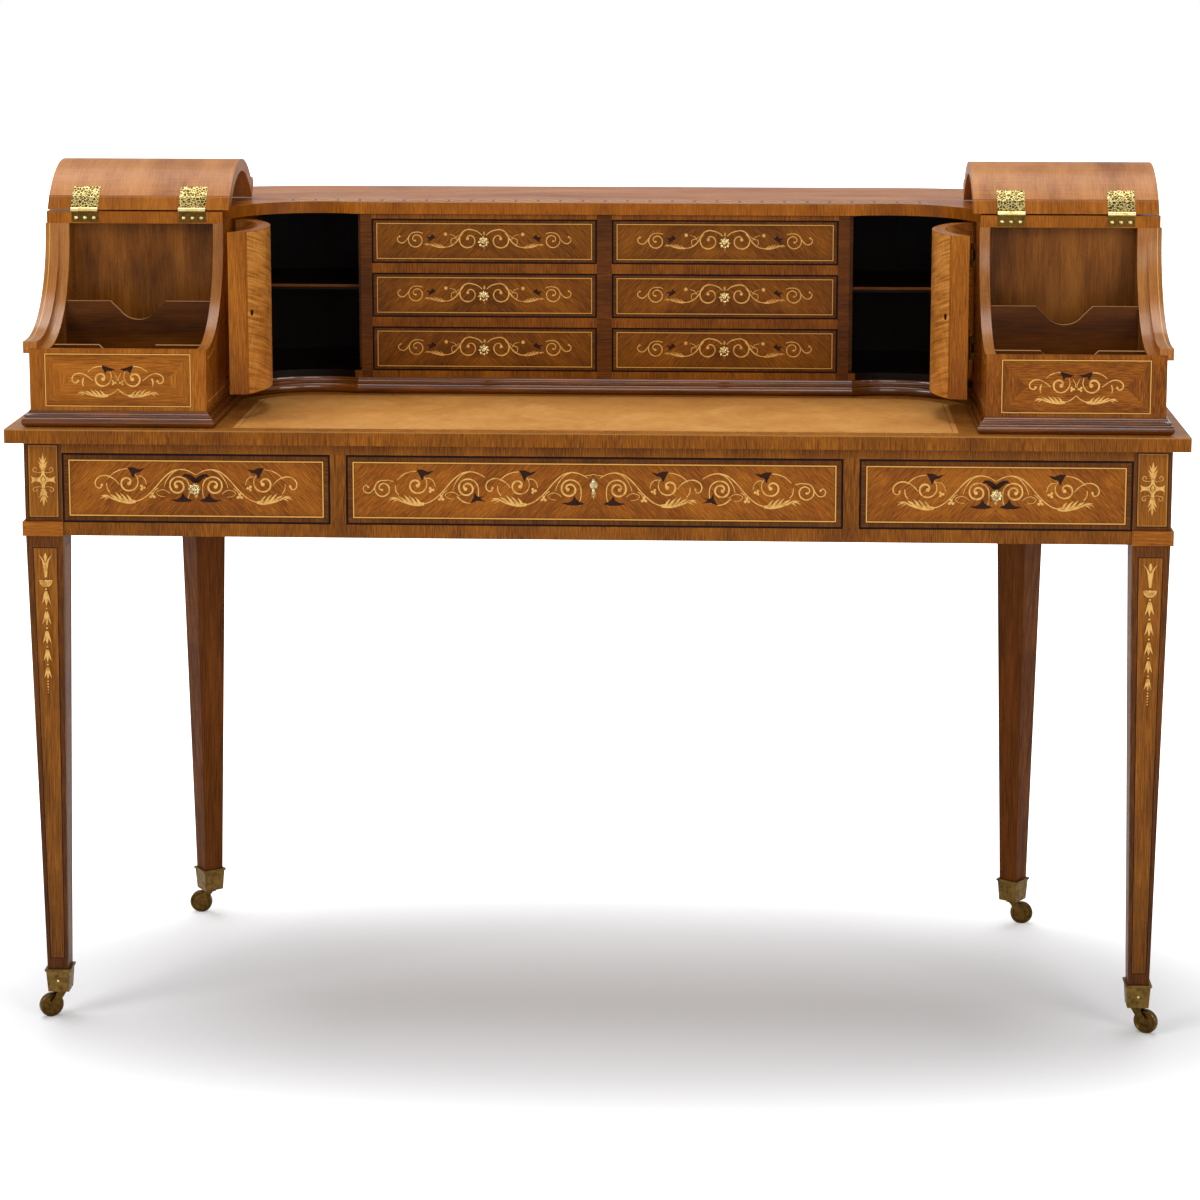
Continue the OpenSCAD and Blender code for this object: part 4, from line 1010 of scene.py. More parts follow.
    def flower(self, centre: Point, size: float, petals: int = 3, turn: float = 90.0) -> None:
        """Draws a small flower of rounded petals."""
        root = Vector(centre)
        for i in range(petals):
            angle = math.radians(turn + i * 360 / petals)
            away = Vector((math.cos(angle), math.sin(angle)))
            aside = Vector((-away.y, away.x))
            self.leaf([tuple(root + away * size * a + aside * size * b) for a, b in self.PETAL])

    def acanthus(self, start: Point, size: float, turn: float = 0.0, rise: float = 0.80) -> None:
        """Draws an acanthus leaf that runs outwards with its leaflets up, and shades between the leaflets.

        Args:
            start: its root.
            size: its length.
            turn: its slope in degrees.
            rise: how far its leaflets stand up, as a share of the pattern's height.
        """
        cosine, sine = math.cos(math.radians(turn)) * size, math.sin(math.radians(turn)) * size

        def placed(points: Sequence[Point]) -> list[Point]:
            """Turns, scales and moves points of the pattern leaf."""
            return [
                (start[0] + u * cosine - v * rise * sine, start[1] + u * sine + v * rise * cosine)
                for u, v in points
            ]

        for points, wide in self.ACANTHUS:
            self.petal(placed(points), wide * size * rise * 0.9)
        for points in self.ACANTHUS_VEINS:
            self.petal(placed(points), self.VEIN_WIDTH * size, self.SHADE, self.VEIN_LIFT)

    def palmette(self, v: float, size: float) -> None:
        """Draws half a palmette on the centre line, pointing up, or down for a negative size."""

        def placed(points: Sequence[Point]) -> list[Point]:
            """Scales and moves points of the pattern palmette."""
            return [(u * abs(size), v + w * size) for u, w in points]

        self.leaf(placed(self.PALMETTE_SPINE))
        for points, wide in self.PALMETTE:
            self.petal(placed(points), wide * abs(size))

    def twin(self) -> None:
        """Adds the mirror image about u = 0."""
        geometry = self.bm.verts[:] + self.bm.edges[:] + self.bm.faces[:]
        bmesh.ops.mirror(self.bm, geom=geometry, merge_dist=0.0, axis="X")

    def lay(
        self,
        name: str,
        body: str,
        origin: Sequence[float],
        finishes: Sequence[bpy.types.Material],
        wrap: Matrix | None = None,
    ) -> bpy.types.Object:
        """Gives the ornament its thickness and puts it on an upright face towards the sitter.

        Args:
            name: the piece's name.
            body: the body that it rides on.
            origin: where u = 0 and v = 0 lie, in metres.
            finishes: the light, the dark and the shading wood.
            wrap: a turn about the origin, for a leaning face.

        Returns:
            The new object.
        """
        faces = self.bm.faces[:]
        made = bmesh.ops.extrude_face_region(self.bm, geom=faces, use_keep_orig=True)["geom"]
        for item in made:
            if isinstance(item, bmesh.types.BMVert):
                item.co.z += self.THICKNESS
        bmesh.ops.recalc_face_normals(self.bm, faces=self.bm.faces[:])
        matrix = Matrix.Translation(origin) @ (wrap or Matrix.Identity(4)) @ UPRIGHT
        bmesh.ops.transform(self.bm, matrix=matrix, verts=self.bm.verts[:])
        return settle(self.bm, name, body, finishes)


def settle(
    bm: bmesh.types.BMesh,
    name: str,
    body: str,
    finishes: Sequence[bpy.types.Material],
    smooth: bool = False,
) -> bpy.types.Object:
    """Turns a finished bmesh into a piece that rides on a body.

    Args:
        bm: the mesh, in place, in metres.
        name: the piece's name.
        body: the body that it rides on.
        finishes: its materials.
        smooth: whether its faces are shaded smooth.

    Returns:
        The new object.
    """
    mesh = bpy.data.meshes.new(name)
    for face in bm.faces:
        face.smooth = smooth
    bm.to_mesh(mesh)
    bm.free()
    for finish in finishes:
        mesh.materials.append(finish)
    piece = bpy.data.objects.new(name, mesh)
    bpy.context.scene.collection.objects.link(piece)
    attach(piece, body)
    LOG.info("%s rides on %s", name, body)
    return piece


@dataclass
class Marquetry:
    """The inlaid ornaments of drawers, towers and legs."""

    finishes: Sequence[bpy.types.Material]
    sunk: float = 0.00004

    PANEL_Z, POST_Z, LEG_Z = 0.7030, 0.7125, 0.6160
    TOWER_FACE = deep(25)
    LEG_FOOT_Z = 0.066
    GALLERY_LIFT = 0.001
    NEAR, FAR = 7.5, 136.5
    HUSKS, HUSK_TOP, HUSK_PITCH, HUSK_TAPER = 5, -47.4, 26.4, 0.045

    def inner_group(self, art: Inlay, shift: float, crown: bool = True, heart: bool = True) -> None:
        """Draws the S-shaped stem with its scroll, curl, flower and leaves, moved outwards by shift."""
        stem = [(0, 17), (5, 20), (12, 23), (20, 24), (28, 22.3), (36, 17.5), (44, 9.5), (52, 0)]
        stem += [(60, -8), (68, -14), (76, -17), (84, -17.6)]
        scroll = spiral((23.4, 3.0), 170, -395, [14.5, 11.4, 9.6, 9.0, 8.4, 6.6, 4.6, 1.7])
        art.stroke(moved(stem, shift), 1.1, 1.5)
        art.stroke(moved([(21, 23.6), (28, 20.6), (34.5, 14), (39, 6), (40.6, 0.5)], shift), 1.1, 0.8)
        art.stroke(moved([(11, -14), (9, -9), (8.4, -2), *scroll], shift), 1.3, 2.7, ball=2.3)
        art.stroke(moved([(47.5, 0), (51.5, -2.5), (54, -6)], shift), 0.9)
        art.flower((55.5 + shift, -10), 4.6, 3, 90)
        if crown:
            leaf = [(4, -15.8), (9.5, -13.4), (14, -10.6), (16.8, -5.4), (19.4, -11.4), (24, -14)]
            leaf += [(33, -15.4), (24, -17.8), (14, -18), (8, -17)]
            art.leaf(moved(leaf, shift), Inlay.DARK)
        if heart:
            leaf = [(0, 12.5), (4, 16), (9.5, 18.2), (14, 18.4), (18, 14), (12.5, 14.6), (8, 11)]
            art.leaf(moved([*leaf, (4, 7.5), (0, 6.5)], shift), Inlay.DARK)
        curl = [(33, -7), (38, -3.2), (44, -2.2), (50, -5.4), (47, -9.8), (39, -11.2)]
        art.stroke(moved(curl, shift), 0.7)

    def outer_group(self, art: Inlay, shift: float, hook: bool = True) -> None:
        """Draws the acanthus leaf with the scroll, dark leaf, flower and hook above it."""
        art.acanthus((77 + shift, -17.6), 45)
        art.stroke(moved([(109, -6.5), (112.6, -1), (113.4, 6)], shift), 1.2)
        art.stroke(moved([(111, 12.6), (104, 19), (95.5, 23), (86.5, 24.6)], shift), 0.9, 1.3)
        leaf = [(86.5, 26.2), (83.6, 21), (79.4, 11.8), (76.6, 18.6), (71, 20.2), (64, 25.4)]
        art.leaf(moved([*leaf, (72, 23.4), (79, 26.4)], shift), Inlay.DARK)
        scroll = spiral((86.6, 6.2), 132, 560, [14.6, 12.6, 10.2, 8.9, 7.9, 6.6, 4.8, 1.8])
        art.stroke(moved(scroll, shift), 1.0, 2.8, ball=2.4)
        art.stroke(moved([(74.6, 15.4), (69, 14.8), (64.6, 10.6), (62.8, 4.2)], shift), 0.9)
        art.flower((68 + shift, 0.4), 4.2, 3, 60)
        if hook:
            curl = [(97.4, 4), (101, 8.6), (106.4, 12.8), (113, 15.4), (120, 15), (126, 11)]
            curl += [(128, 5), (125.6, 0.2), (121.4, -0.4), (119.6, 3.4)]
            art.stroke(moved(curl, shift), 1.1, 1.7, ball=1.6)

    def lay(
        self, art: Inlay, name: str, body: str, place: Sequence[float], wrap: Matrix | None = None
    ) -> None:
        """Lays an ornament on a face, a hair deep in it.

        Args:
            art: the ornament.
            name: the piece's name.
            body: the body that it rides on.
            place: where its middle lies on the face.
            wrap: a turn about that place.
        """
        x, y, z = place
        art.lay(name, body, (x, y + self.sunk, z), self.finishes, wrap)

    def frieze_drawer(self, name: str, centre_x: float) -> None:
        """Inlays one of the side drawers of the frieze."""
        art = Inlay()
        self.inner_group(art, 0.0)
        self.outer_group(art, 0.0)
        art.palmette(-4.5, -9.5)
        art.twin()
        self.lay(art, f"{name}_marquetry", name, (centre_x, FRIEZE_FACE, self.PANEL_Z))

    def centre_drawer(self) -> None:
        """Inlays the long centre drawer of the frieze."""
        art = Inlay()
        art.stroke([(0, 22), (6, 20.5), (12, 20)], 0.9)
        self.inner_group(art, self.NEAR, heart=False)
        self.outer_group(art, self.NEAR)
        self.inner_group(art, self.FAR, crown=False, heart=False)
        self.outer_group(art, self.FAR, hook=False)
        art.stroke([(172, -8), (164, -14.3), (155, -16.6)], 1.6, 1.2)
        leaf = [(149.6, -1.6), (147.5, -6.5), (144, -8), (138.5, -7), (142.5, -9.5), (141, -11.5)]
        art.leaf([*leaf, (135, -14.3), (145.4, -12.8), (154.7, -16), (151, -8.5)], Inlay.DARK)
        scroll = spiral((265.5, 1.5), 95, -420, [10.6, 10.2, 10.0, 8.6, 7.0, 5.2, 1.8])
        art.stroke([(252, 10.6), (258, 12.2), *scroll], 1.2, 1.7, ball=1.5)
        curl = [(273.8, 7.2), (278.6, -1), (283, -4.2), (288.6, -2.6), (290, 2.6), (286.6, 5.8)]
        art.stroke([*curl, (283.8, 3.6)], 1.1, 1.5, ball=1.4)
        art.palmette(1.0, -11.5)
        art.twin()
        name = "frieze_drawer_centre"
        self.lay(art, f"{name}_marquetry", name, (0.0, FRIEZE_FACE, self.PANEL_Z))

    def gallery_drawer(self, name: str, centre_x: float, centre_z: float) -> None:
        """Inlays one of the small drawers."""
        art = Inlay()
        scroll = spiral((20.4, 1.8), 100, -335, [13.2, 12.4, 12.6, 10.2, 7.4, 5.0, 2.0])
        art.stroke([(3, 7.4), (9, 12.2), *scroll], 1.5, 1.6, ball=2.1)
        art.stroke([(28, 10.6), (32.5, 5), (37, -1.6), (43, -6.4), (50, -8.8), (57, -8)], 1.6, 1.1)
        art.acanthus((52.5, -9), 28, 2, 0.6)
        art.stroke([(33.6, 7), (38.6, 3.6), (43.4, 2), (44.4, -2.4), (42, -7)], 0.8)
        art.stroke([(36.6, 1.2), (40.4, 6.6), (46.6, 8.4)], 0.7)
        art.flower((51.6, 8.6), 2.6, 5, 90)
        leaf = [(64.6, 3.9), (69.6, 8.6), (72, 4.8), (78, 4.8), (73.9, 1.9), (75.2, -2), (70.4, 0.6)]
        art.leaf(leaf, Inlay.DARK)
        scroll = spiral((91.4, 1.0), 92, -420, [10.0, 10.0, 10.0, 8.6, 6.6, 4.6, 1.6])
        art.stroke([(82.2, 9.6), (87, 11), *scroll], 1.1, 1.3, ball=1.4)
        curl = [(99.4, 6.8), (104.6, -0.6), (109.4, -3.6), (114.6, -1.8), (116, 2.6), (113, 5.4)]
        art.stroke(curl, 1.1, 1.3, ball=1.2)
        art.palmette(-4.0, -9.0)
        art.palmette(7.0, 6.5)
        art.twin()
        place = (centre_x, GALLERY_FACE, centre_z + self.GALLERY_LIFT)
        self.lay(art, f"{name}_marquetry", name, place)

    def tower(self, side: str) -> None:
        """Inlays the front of one letter tower."""
        art = Inlay()
        leaf = [(3, 14.4), (9, 15.6), (19.6, 19), (19.2, 15.6), (15.6, 8.2), (13.4, 12.2), (8, 11.8)]
        art.leaf(leaf, Inlay.DARK)
        art.stroke([(19.6, 18), (26, 17.2), (32.4, 14.8), (37.8, 10.4)], 1.4, 0.9)
        scroll = spiral((20.2, 2.0), 140, 560, [14.0, 10.8, 9.4, 8.4, 7.6, 6.2, 4.6, 1.8])
        art.stroke(scroll, 1.1, 2.8, ball=2.4)
        curl = [(31.6, -0.4), (38.6, 5.2), (46, 8.6), (53, 7.8), (57.6, 3.4), (56.8, -2), (52.2, -3.6)]
        art.stroke([*curl, (50.4, -1)], 1.0, 1.7, ball=1.6)
        art.stroke([(43.2, 2.6), (44.6, -2.6), (43.8, -8)], 1.9, 1.4)
        art.acanthus((12.6, -19.4), 39, -3, 0.72)
        art.stroke([(0, -11), (5.8, -16), (11.4, -18.6), (16, -19.2)], 1.0, 1.2)
        art.flower((5.0, -3.0), 3.6, 3, 60)
        art.stroke([(0.6, -1), (1.2, 3.4), (4.4, 9.6)], 0.9, 0.7)
        art.twin()
        place = (SIDES[side] * TOWER_X, self.TOWER_FACE, TOWER_Z)
        self.lay(art, f"tower_marquetry_{side}", "desk", place)

    def post(self, side: str) -> None:
        """Inlays the arabesque on a front post."""
        art = Inlay()
        upper = [(0, 11.6), (1.5, 11.2), (2.1, 7), (4.0, 3.6), (8.6, 1.9), (12.6, 2.9)]
        upper += [(15.6, 4.4), (14.2, 1.5)]
        art.leaf(upper + [(u, -v) for u, v in reversed(upper)])
        for way in (1, -1):
            art.palmette(13.4 * way, 20.5 * way)
            curl = [(9.8 + u, (13.0 + v) * way) for u, v in spiral((0, 0), -100, 230, [3.3, 2.9, 2.2, 1.2])]
            art.stroke([(1.4, 10.2 * way), (5.0, 8.9 * way), *curl], 0.6, 0.7)
        art.petal([(0, 12.8), (1.8, 12.4), (3.9, 13.4)], 1.3)
        art.petal([(0, -12.8), (1.8, -12.4), (3.9, -13.4)], 1.3)
        art.petal([(0, 5.4), (2.9, 0), (0, -5.4)], 0.9, Inlay.DARK, Inlay.VEIN_LIFT)
        art.twin()
        place = (SIDES[side] * LEG_X, FRIEZE_FACE, self.POST_Z)
        self.lay(art, f"post_marquetry_{side}", "desk", place)

    def leg(self, side: str) -> None:
        """Inlays the vase and the drop of husks on a front leg."""
        art = Inlay()
        art.petal([(0.4, -29), (1.3, -17), (3.4, -8), (8.8, 0.4)], 3.2)
        art.leaf([(0, -9.8), (1.3, -7), (2.1, -3.4), (1.2, 0), (0, 2.2)])
        art.leaf([(0, -9.5), (1.9, -16), (0.9, -29.5), (0, -29.5)])
        art.leaf([(0, -32.4), (2.6, -33.4), (5.4, -32.6), (8.8, -33.4), (7.4, -38), (3.8, -41.4), (0, -42)])
        for u in (1.4, 3.8, 6.0):
            art.petal([(u, -34.2), (u * 0.85, -37), (u * 0.55, -40.4)], 0.6, Inlay.SHADE, Inlay.VEIN_LIFT)
        drop, beads = self.HUSK_TOP, []
        for i in range(self.HUSKS):
            size = 1.0 - self.HUSK_TAPER * i
            petal = [(0.5, drop), (2.4 * size, drop - 8 * size), (5.8 * size, drop - 17 * size)]
            art.petal(petal, 3.3 * size)
            leaf = [(0, drop - 5 * size), (1.3 * size, drop - 9 * size), (1.7 * size, drop - 13 * size)]
            art.leaf([*leaf, (0, drop - 19 * size)])
            drop -= self.HUSK_PITCH * size
            beads.append((drop + 4.0 * size, 1.25 * size))
        beads += [(drop - 0.4 - 3.6 * i, 1.15 - 0.14 * i) for i in range(4)]
        art.twin()
        for v, radius in [(-44.8, 1.3), *beads]:
            art.disc((0, v), radius)
        half = ANKLE + (self.LEG_Z - self.LEG_FOOT_Z) * LEG_SLOPE
        lean = Matrix.Rotation(-math.atan(LEG_SLOPE), 4, "X")
        place = (SIDES[side] * LEG_X, LEG_Y - half, self.LEG_Z)
        self.lay(art, f"leg_marquetry_{side}", "desk", place, lean)

    def build(self) -> None:
        """Inlays every ornament."""
        for side, sign in SIDES.items():
            self.frieze_drawer(f"frieze_drawer_{side}", sign * FRIEZE_DRAWER_X)
            self.tower(side)
            self.post(side)
            self.leg(side)
            for row, i in ROWS.items():
                self.gallery_drawer(f"gallery_drawer_{side}_{row}", sign * GALLERY_DRAWER_X, row_z(i))
        self.centre_drawer()


@dataclass
class Knobs:
    """Turned and chased brass knobs."""

    brass: bpy.types.Material
    petals: int = 8
    buds: int = 5
    steps: int = 64

    HEAD_Z, CROWN_Z, BUD_Z, BUTTON_R = 9.0, 11, 15.0, 3.4
    LOBE, RIPPLE, NOTCH = 0.09, 0.35, 0.3
    FRIEZE_Z = 0.658 + 0.089 * 0.52
    PROFILE = [
        (0.0, 0.0), (5.6, 0.0), (5.9, 0.5), (5.5, 1.1), (4.2, 1.7), (3.0, 2.6), (2.6, 4.2), (2.6, 6.4),
        (3.2, 8.2), (4.8, 9.3), (6.9, 9.9), (7.9, 10.9), (8.0, 12.0), (7.5, 13.2), (6.4, 14.2), (5.0, 14.6),
        (4.3, 14.2), (3.7, 14.6), (3.1, 15.6), (2.0, 16.4), (0.9, 16.8), (0.0, 16.9),
    ]

    def turned(self) -> bmesh.types.BMesh:
        """Spins the profile and chases its petals; the axis is Z, in millimetres."""
        bm = bmesh.new()
        verts = [bm.verts.new((r, 0.0, h)) for r, h in self.PROFILE]
        edges = [bm.edges.new(pair) for pair in zip(verts, verts[1:])]
        turn = {"cent": (0, 0, 0), "axis": (0, 0, 1), "angle": math.tau}
        bmesh.ops.spin(bm, geom=verts + edges, steps=self.steps, use_merge=True, **turn)
        bmesh.ops.remove_doubles(bm, verts=bm.verts[:], dist=0.002)
        for vert in bm.verts:
            reach = math.hypot(vert.co.x, vert.co.y)
            angle = math.atan2(vert.co.y, vert.co.x)
            high = vert.co.z
            if high > self.HEAD_Z and reach > self.BUTTON_R:
                wave = math.cos(self.petals * angle)
                share = self.LOBE * (wave - 0.4) * min(1.0, (reach - self.BUTTON_R) / 3)
                vert.co.x *= 1 + share
                vert.co.y *= 1 + share
                vert.co.z += self.RIPPLE * wave * (1 if high > self.CROWN_Z else 0)
            elif high > self.BUD_Z and reach > 0.5:
                vert.co.z -= self.NOTCH * math.cos(self.buds * angle)
        bmesh.ops.recalc_face_normals(bm, faces=bm.faces[:])
        return bm

    def drawer_knob(self, name: str, body: str, spot: Sequence[float]) -> None:
        """Puts a knob on an upright front, in place of its plain solid."""
        bm = self.turned()
        bmesh.ops.transform(bm, matrix=Matrix.Translation(spot) @ UPRIGHT, verts=bm.verts[:])
        piece = settle(bm, f"{name}_rosette", body, [self.brass], smooth=True)
        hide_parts(name)

    def build(self) -> None:
        """Makes the knobs of all the drawers."""
        for side, sign in SIDES.items():
            spot = (sign * FRIEZE_DRAWER_X, FRIEZE_FACE, self.FRIEZE_Z)
            self.drawer_knob(f"frieze_knob_{side}", f"frieze_drawer_{side}", spot)
            for row, i in ROWS.items():
                spot = (sign * GALLERY_DRAWER_X, GALLERY_FACE, row_z(i))
                self.drawer_knob(f"gallery_knob_{side}_{row}", f"gallery_drawer_{side}_{row}", spot)


@dataclass
class Fittings:
    """Screws, rivets and keyholes, which are dark ovals of painted shade."""

    brass: bpy.types.Material
    dark: bpy.types.Material

    SCREW_R, RIVET_R, KEYHOLE_R = 0.0027, 0.0017, 0.0030
    HEAD_SIDES = 20
    HEAD_RINGS = ((0.10, 0.20), (0.30, 0.22), (0.35, 0.08))
    HINGES_X, SCREWS_APART = (-0.667, -0.527), 0.0115
    SCREWS_Y, SCREWS_Z = deep(177.8), 1.0287
    CUP_HALF, RIVET_Z = 0.0153, 0.050
    DOOR_CENTRE, DOOR_RADIUS, KEYHOLE_ANGLE = (0.3763, deep(209.3), 0.915), 0.13655, 78
    DOOR_HINGE, DOOR_SWING = (0.484, deep(262), 0.0), 105
    KEYHOLE_STRETCH, KEYHOLE_THICK = 1.35, 0.00025
    FACING_SITTER = Matrix.Rotation(math.pi / 2, 4, "X")

    def plate(self, bm: bmesh.types.BMesh, matrix: Matrix, radius: float) -> dict[str, list]:
        """Adds a round face across the matrix's Z and returns what was made."""
        shape = {"radius": radius, "segments": self.HEAD_SIDES}
        return bmesh.ops.create_circle(bm, cap_ends=True, matrix=matrix, **shape)

    def dome(self, bm: bmesh.types.BMesh, matrix: Matrix, radius: float) -> None:
        """Adds a round head that rises towards its middle, standing along the matrix's Z, in metres."""
        made = self.plate(bm, matrix, radius)
        face = next(iter({f for v in made["verts"] for f in v.link_faces}))
        out = matrix.to_3x3() @ Vector((0, 0, 1))
        if face.normal.dot(out) < 0:
            face.normal_flip()
        for inset, rise in self.HEAD_RINGS:
            bmesh.ops.inset_individual(bm, faces=[face], thickness=radius * inset, depth=0.0)
            bmesh.ops.translate(bm, verts=face.verts[:], vec=out * radius * rise)

    def screws(self, side: str, sign: int) -> None:
        """Puts three screws on each fixed leaf of a lid's hinges."""
        bm = bmesh.new()
        for hinge in self.HINGES_X:
            for step in (-self.SCREWS_APART, 0.0, self.SCREWS_APART):
                spot = Matrix.Translation((-sign * (hinge + step), self.SCREWS_Y, self.SCREWS_Z))
                self.dome(bm, spot @ self.FACING_SITTER, self.SCREW_R)
        settle(bm, f"hinge_screws_{side}", "desk", [self.brass], smooth=True)

    def rivets(self, side: str, sign: int) -> None:
        """Puts a rivet on the front and outer face of a toe cup."""
        bm = bmesh.new()
        front = Matrix.Translation((sign * LEG_X, LEG_Y - self.CUP_HALF, self.RIVET_Z))
        self.dome(bm, front @ self.FACING_SITTER, self.RIVET_R)
        outer = Matrix.Translation((sign * (LEG_X + self.CUP_HALF), LEG_Y, self.RIVET_Z))
        self.dome(bm, outer @ Matrix.Rotation(sign * math.pi / 2, 4, "Y"), self.RIVET_R)
        settle(bm, f"cup_rivets_{side}", "desk", [self.brass], smooth=True)

    def keyhole(self, side: str, sign: int) -> None:
        """Lays a thin dark oval on the full side of a door, near its free end, as painted shade for a
        keyhole.
        """
        bm = bmesh.new()
        angle = math.radians(180 - self.KEYHOLE_ANGLE if sign > 0 else self.KEYHOLE_ANGLE)
        across, back, up = self.DOOR_CENTRE
        away = Vector((math.cos(angle), math.sin(angle), 0)) * self.DOOR_RADIUS
        face = Matrix.Translation(Vector((sign * across, back, up)) + away)
        face = face @ Matrix.Rotation(angle, 4, "Z") @ Matrix.Rotation(math.pi / 2, 4, "Y")
        across, back, up = self.DOOR_HINGE
        hinge = Matrix.Translation((sign * across, back, up))
        swing = Matrix.Rotation(math.radians(sign * self.DOOR_SWING), 4, "Z")
        turn = hinge @ swing @ hinge.inverted()
        # Painted shade: a thin dark oval stands for the hole of the keyhole.
        self.plate(bm, turn @ face @ Matrix.Diagonal((self.KEYHOLE_STRETCH, 1.0, 1.0, 1.0)), self.KEYHOLE_R)
        out = (turn @ face).to_3x3() @ Vector((0, 0, 1))
        made = bmesh.ops.extrude_face_region(bm, geom=bm.faces[:], use_keep_orig=True)["geom"]
        risen = [g for g in made if isinstance(g, bmesh.types.BMVert)]
        bmesh.ops.translate(bm, verts=risen, vec=out * self.KEYHOLE_THICK)
        bmesh.ops.recalc_face_normals(bm, faces=bm.faces[:])
        settle(bm, f"door_keyhole_{side}", f"door_{side}", [self.dark])

    def build(self) -> None:
        """Makes the fittings of both sides."""
        for side, sign in SIDES.items():
            self.screws(side, sign)
            self.rivets(side, sign)
            self.keyhole(side, sign)


class Dresser:
    """Gives every node of the frame its finish."""

    FRIEZE_HALF = {"left": 0.1692, "centre": 0.3112, "right": 0.1692}
    FRIEZE_SHAPE = (0.0437, 0.0085, 0.0085, FRIEZE_BACK, Match.DIAGONAL)
    SMALL_SHAPE = (0.1497, 0.0290, 0.0062, 0.0055, GALLERY_BACK, Match.DIAGONAL)
    SMALL_LINES = {"thick": 0.0119, "line_w": 0.0012, "rim": 0.0015, "line_share": 0.85}
    TOWER_SHAPE = (0.11175, 0.0388, 0.0200, 0.0058, FRIEZE_BACK, Match.QUARTERED)

    def wear(self, finish: Finish, *names: str) -> None:
        """Puts one finish on the named nodes."""
        material = finish.material()
        for name in names:
            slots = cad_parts[name].data.materials
            slots.clear()
            slots.append(material)

    def drawers(self) -> None:
        """Dresses the fronts of all the drawers."""
        for i, (place, half) in enumerate(self.FRIEZE_HALF.items()):
            name, x = f"frieze_drawer_{place}", SIDES.get(place, 0) * FRIEZE_DRAWER_X
            front = PanelVeneer(f"{name}_veneer", x, 0.7025, half, *self.FRIEZE_SHAPE, seed=i * 0.37)
            self.wear(front, name)
        for side, sign in SIDES.items():
            for row, i in ROWS.items():
                name, x = f"gallery_drawer_{side}_{row}", sign * GALLERY_DRAWER_X
                looks = {"field": SMALL_FIELD, "seed": 1.0 + i * 0.31 + sign * 0.5, **self.SMALL_LINES}
                self.wear(PanelVeneer(f"{name}_veneer", x, row_z(i), *self.SMALL_SHAPE, **looks), name)

    def towers(self) -> None:
        """Dresses the letter towers."""
        for side, sign in SIDES.items():
            name, wood = f"tower_front_veneer_{side}", HONEY if sign < 0 else FIELD
            looks = {"field": wood, "band": wood, "behind": INNER, "line_w": 0.0012, "rim": 0.0}
            front = PanelVeneer(name, sign * TOWER_X, TOWER_Z, *self.TOWER_SHAPE, seed=3.0 + sign, **looks)
            self.wear(front, f"tower_case_{side}")
        self.wear(CheekVeneer(), "tower_cheeks_left", "tower_cheeks_right")
        self.wear(PartitionWood(), "letter_partitions")

    def lids_and_doors(self) -> None:
        """Dresses the lids and the doors."""
        self.wear(LidVeneer(), "lid_left", "lid_right")
        for side in SIDES:
            self.wear(DoorVeneer(f"door_veneer_{side}"), f"cupboard_door_{side}")

    def carcase(self) -> None:
        """Dresses the table, the legs and the gallery."""
        dull = Polish(roughness=0.5, gloss=0.06)
        polished = Polish(roughness=0.24, spread=0.06, gloss=0.3, coat=0.8, coat_roughness=0.05)
        plain = Polish(roughness=0.6, coat=0.0)
        self.wear(SlabVeneer(), "tabletop")
        self.wear(Leather(), "leather_inset")
        self.wear(Veneer("rail_veneer", RAIL), "frieze_frame", "apron")
        self.wear(LegVeneer(), "leg_front_left", "leg_front_right")
        self.wear(Veneer("back_leg_wood", BACK_LEG, dull), "leg_back_left", "leg_back_right")
        self.wear(CrownVeneer(), "gallery_top")
        self.wear(BackVeneer(), "gallery_back")
        self.wear(Veneer("stile_veneer", CROSS, along="x"), "gallery_partitions")
        self.wear(Veneer("gallery_rail_veneer", RAIL, seed=0.7), "gallery_dust_boards")
        self.wear(ShelfWood(), "cupboard_shelves")
        self.wear(FloorVeneer(), "gallery_floor")
        self.wear(Veneer("moulding_wood", MAHOGANY, polished, along="run"), "base_moulding")
        self.wear(Veneer("runner_wood", DRAWER_SIDES, plain, along="y"), "drawer_runners")

    def metal(self) -> None:
        """Dresses the brass."""
        corners = [f"{end}_{side}" for end in ("front", "back") for side in SIDES]
        casters = [f"caster_{part}_{corner}" for corner in corners for part in ("fork", "wheel")]
        aged = Brass("aged_brass", "846634", "483618", 0.34)
        worked = Brass("worked_brass", "ead68e", "bc9c52", 0.34, worked=True)
        pinned = Brass("dark_brass", "6e5424", "3a2a0e", 0.28, knuckle_highlight="ecd698")
        self.wear(aged, "toe_cups", "door_hinge_leaves_left", "door_hinge_leaves_right")
        self.wear(pinned, "fixed_hinge_leaves")
        self.wear(Brass("bronze", "6e5226", "30220a", 0.24), *casters)
        self.wear(Brass("knob_shank_brass", "ecd79c", "a07c40", 0.26), "door_knob_left", "door_knob_right")
        self.wear(Brass("lock_brass", "e6d8ac", "94804c", 0.26), "drawer_key", "drawer_lock")
        self.wear(worked, "lid_hinge_leaves_left", "lid_hinge_leaves_right")

    def build(self) -> None:
        """Dresses every node."""
        self.carcase()
        self.drawers()
        self.towers()
        self.lids_and_doors()
        self.metal()


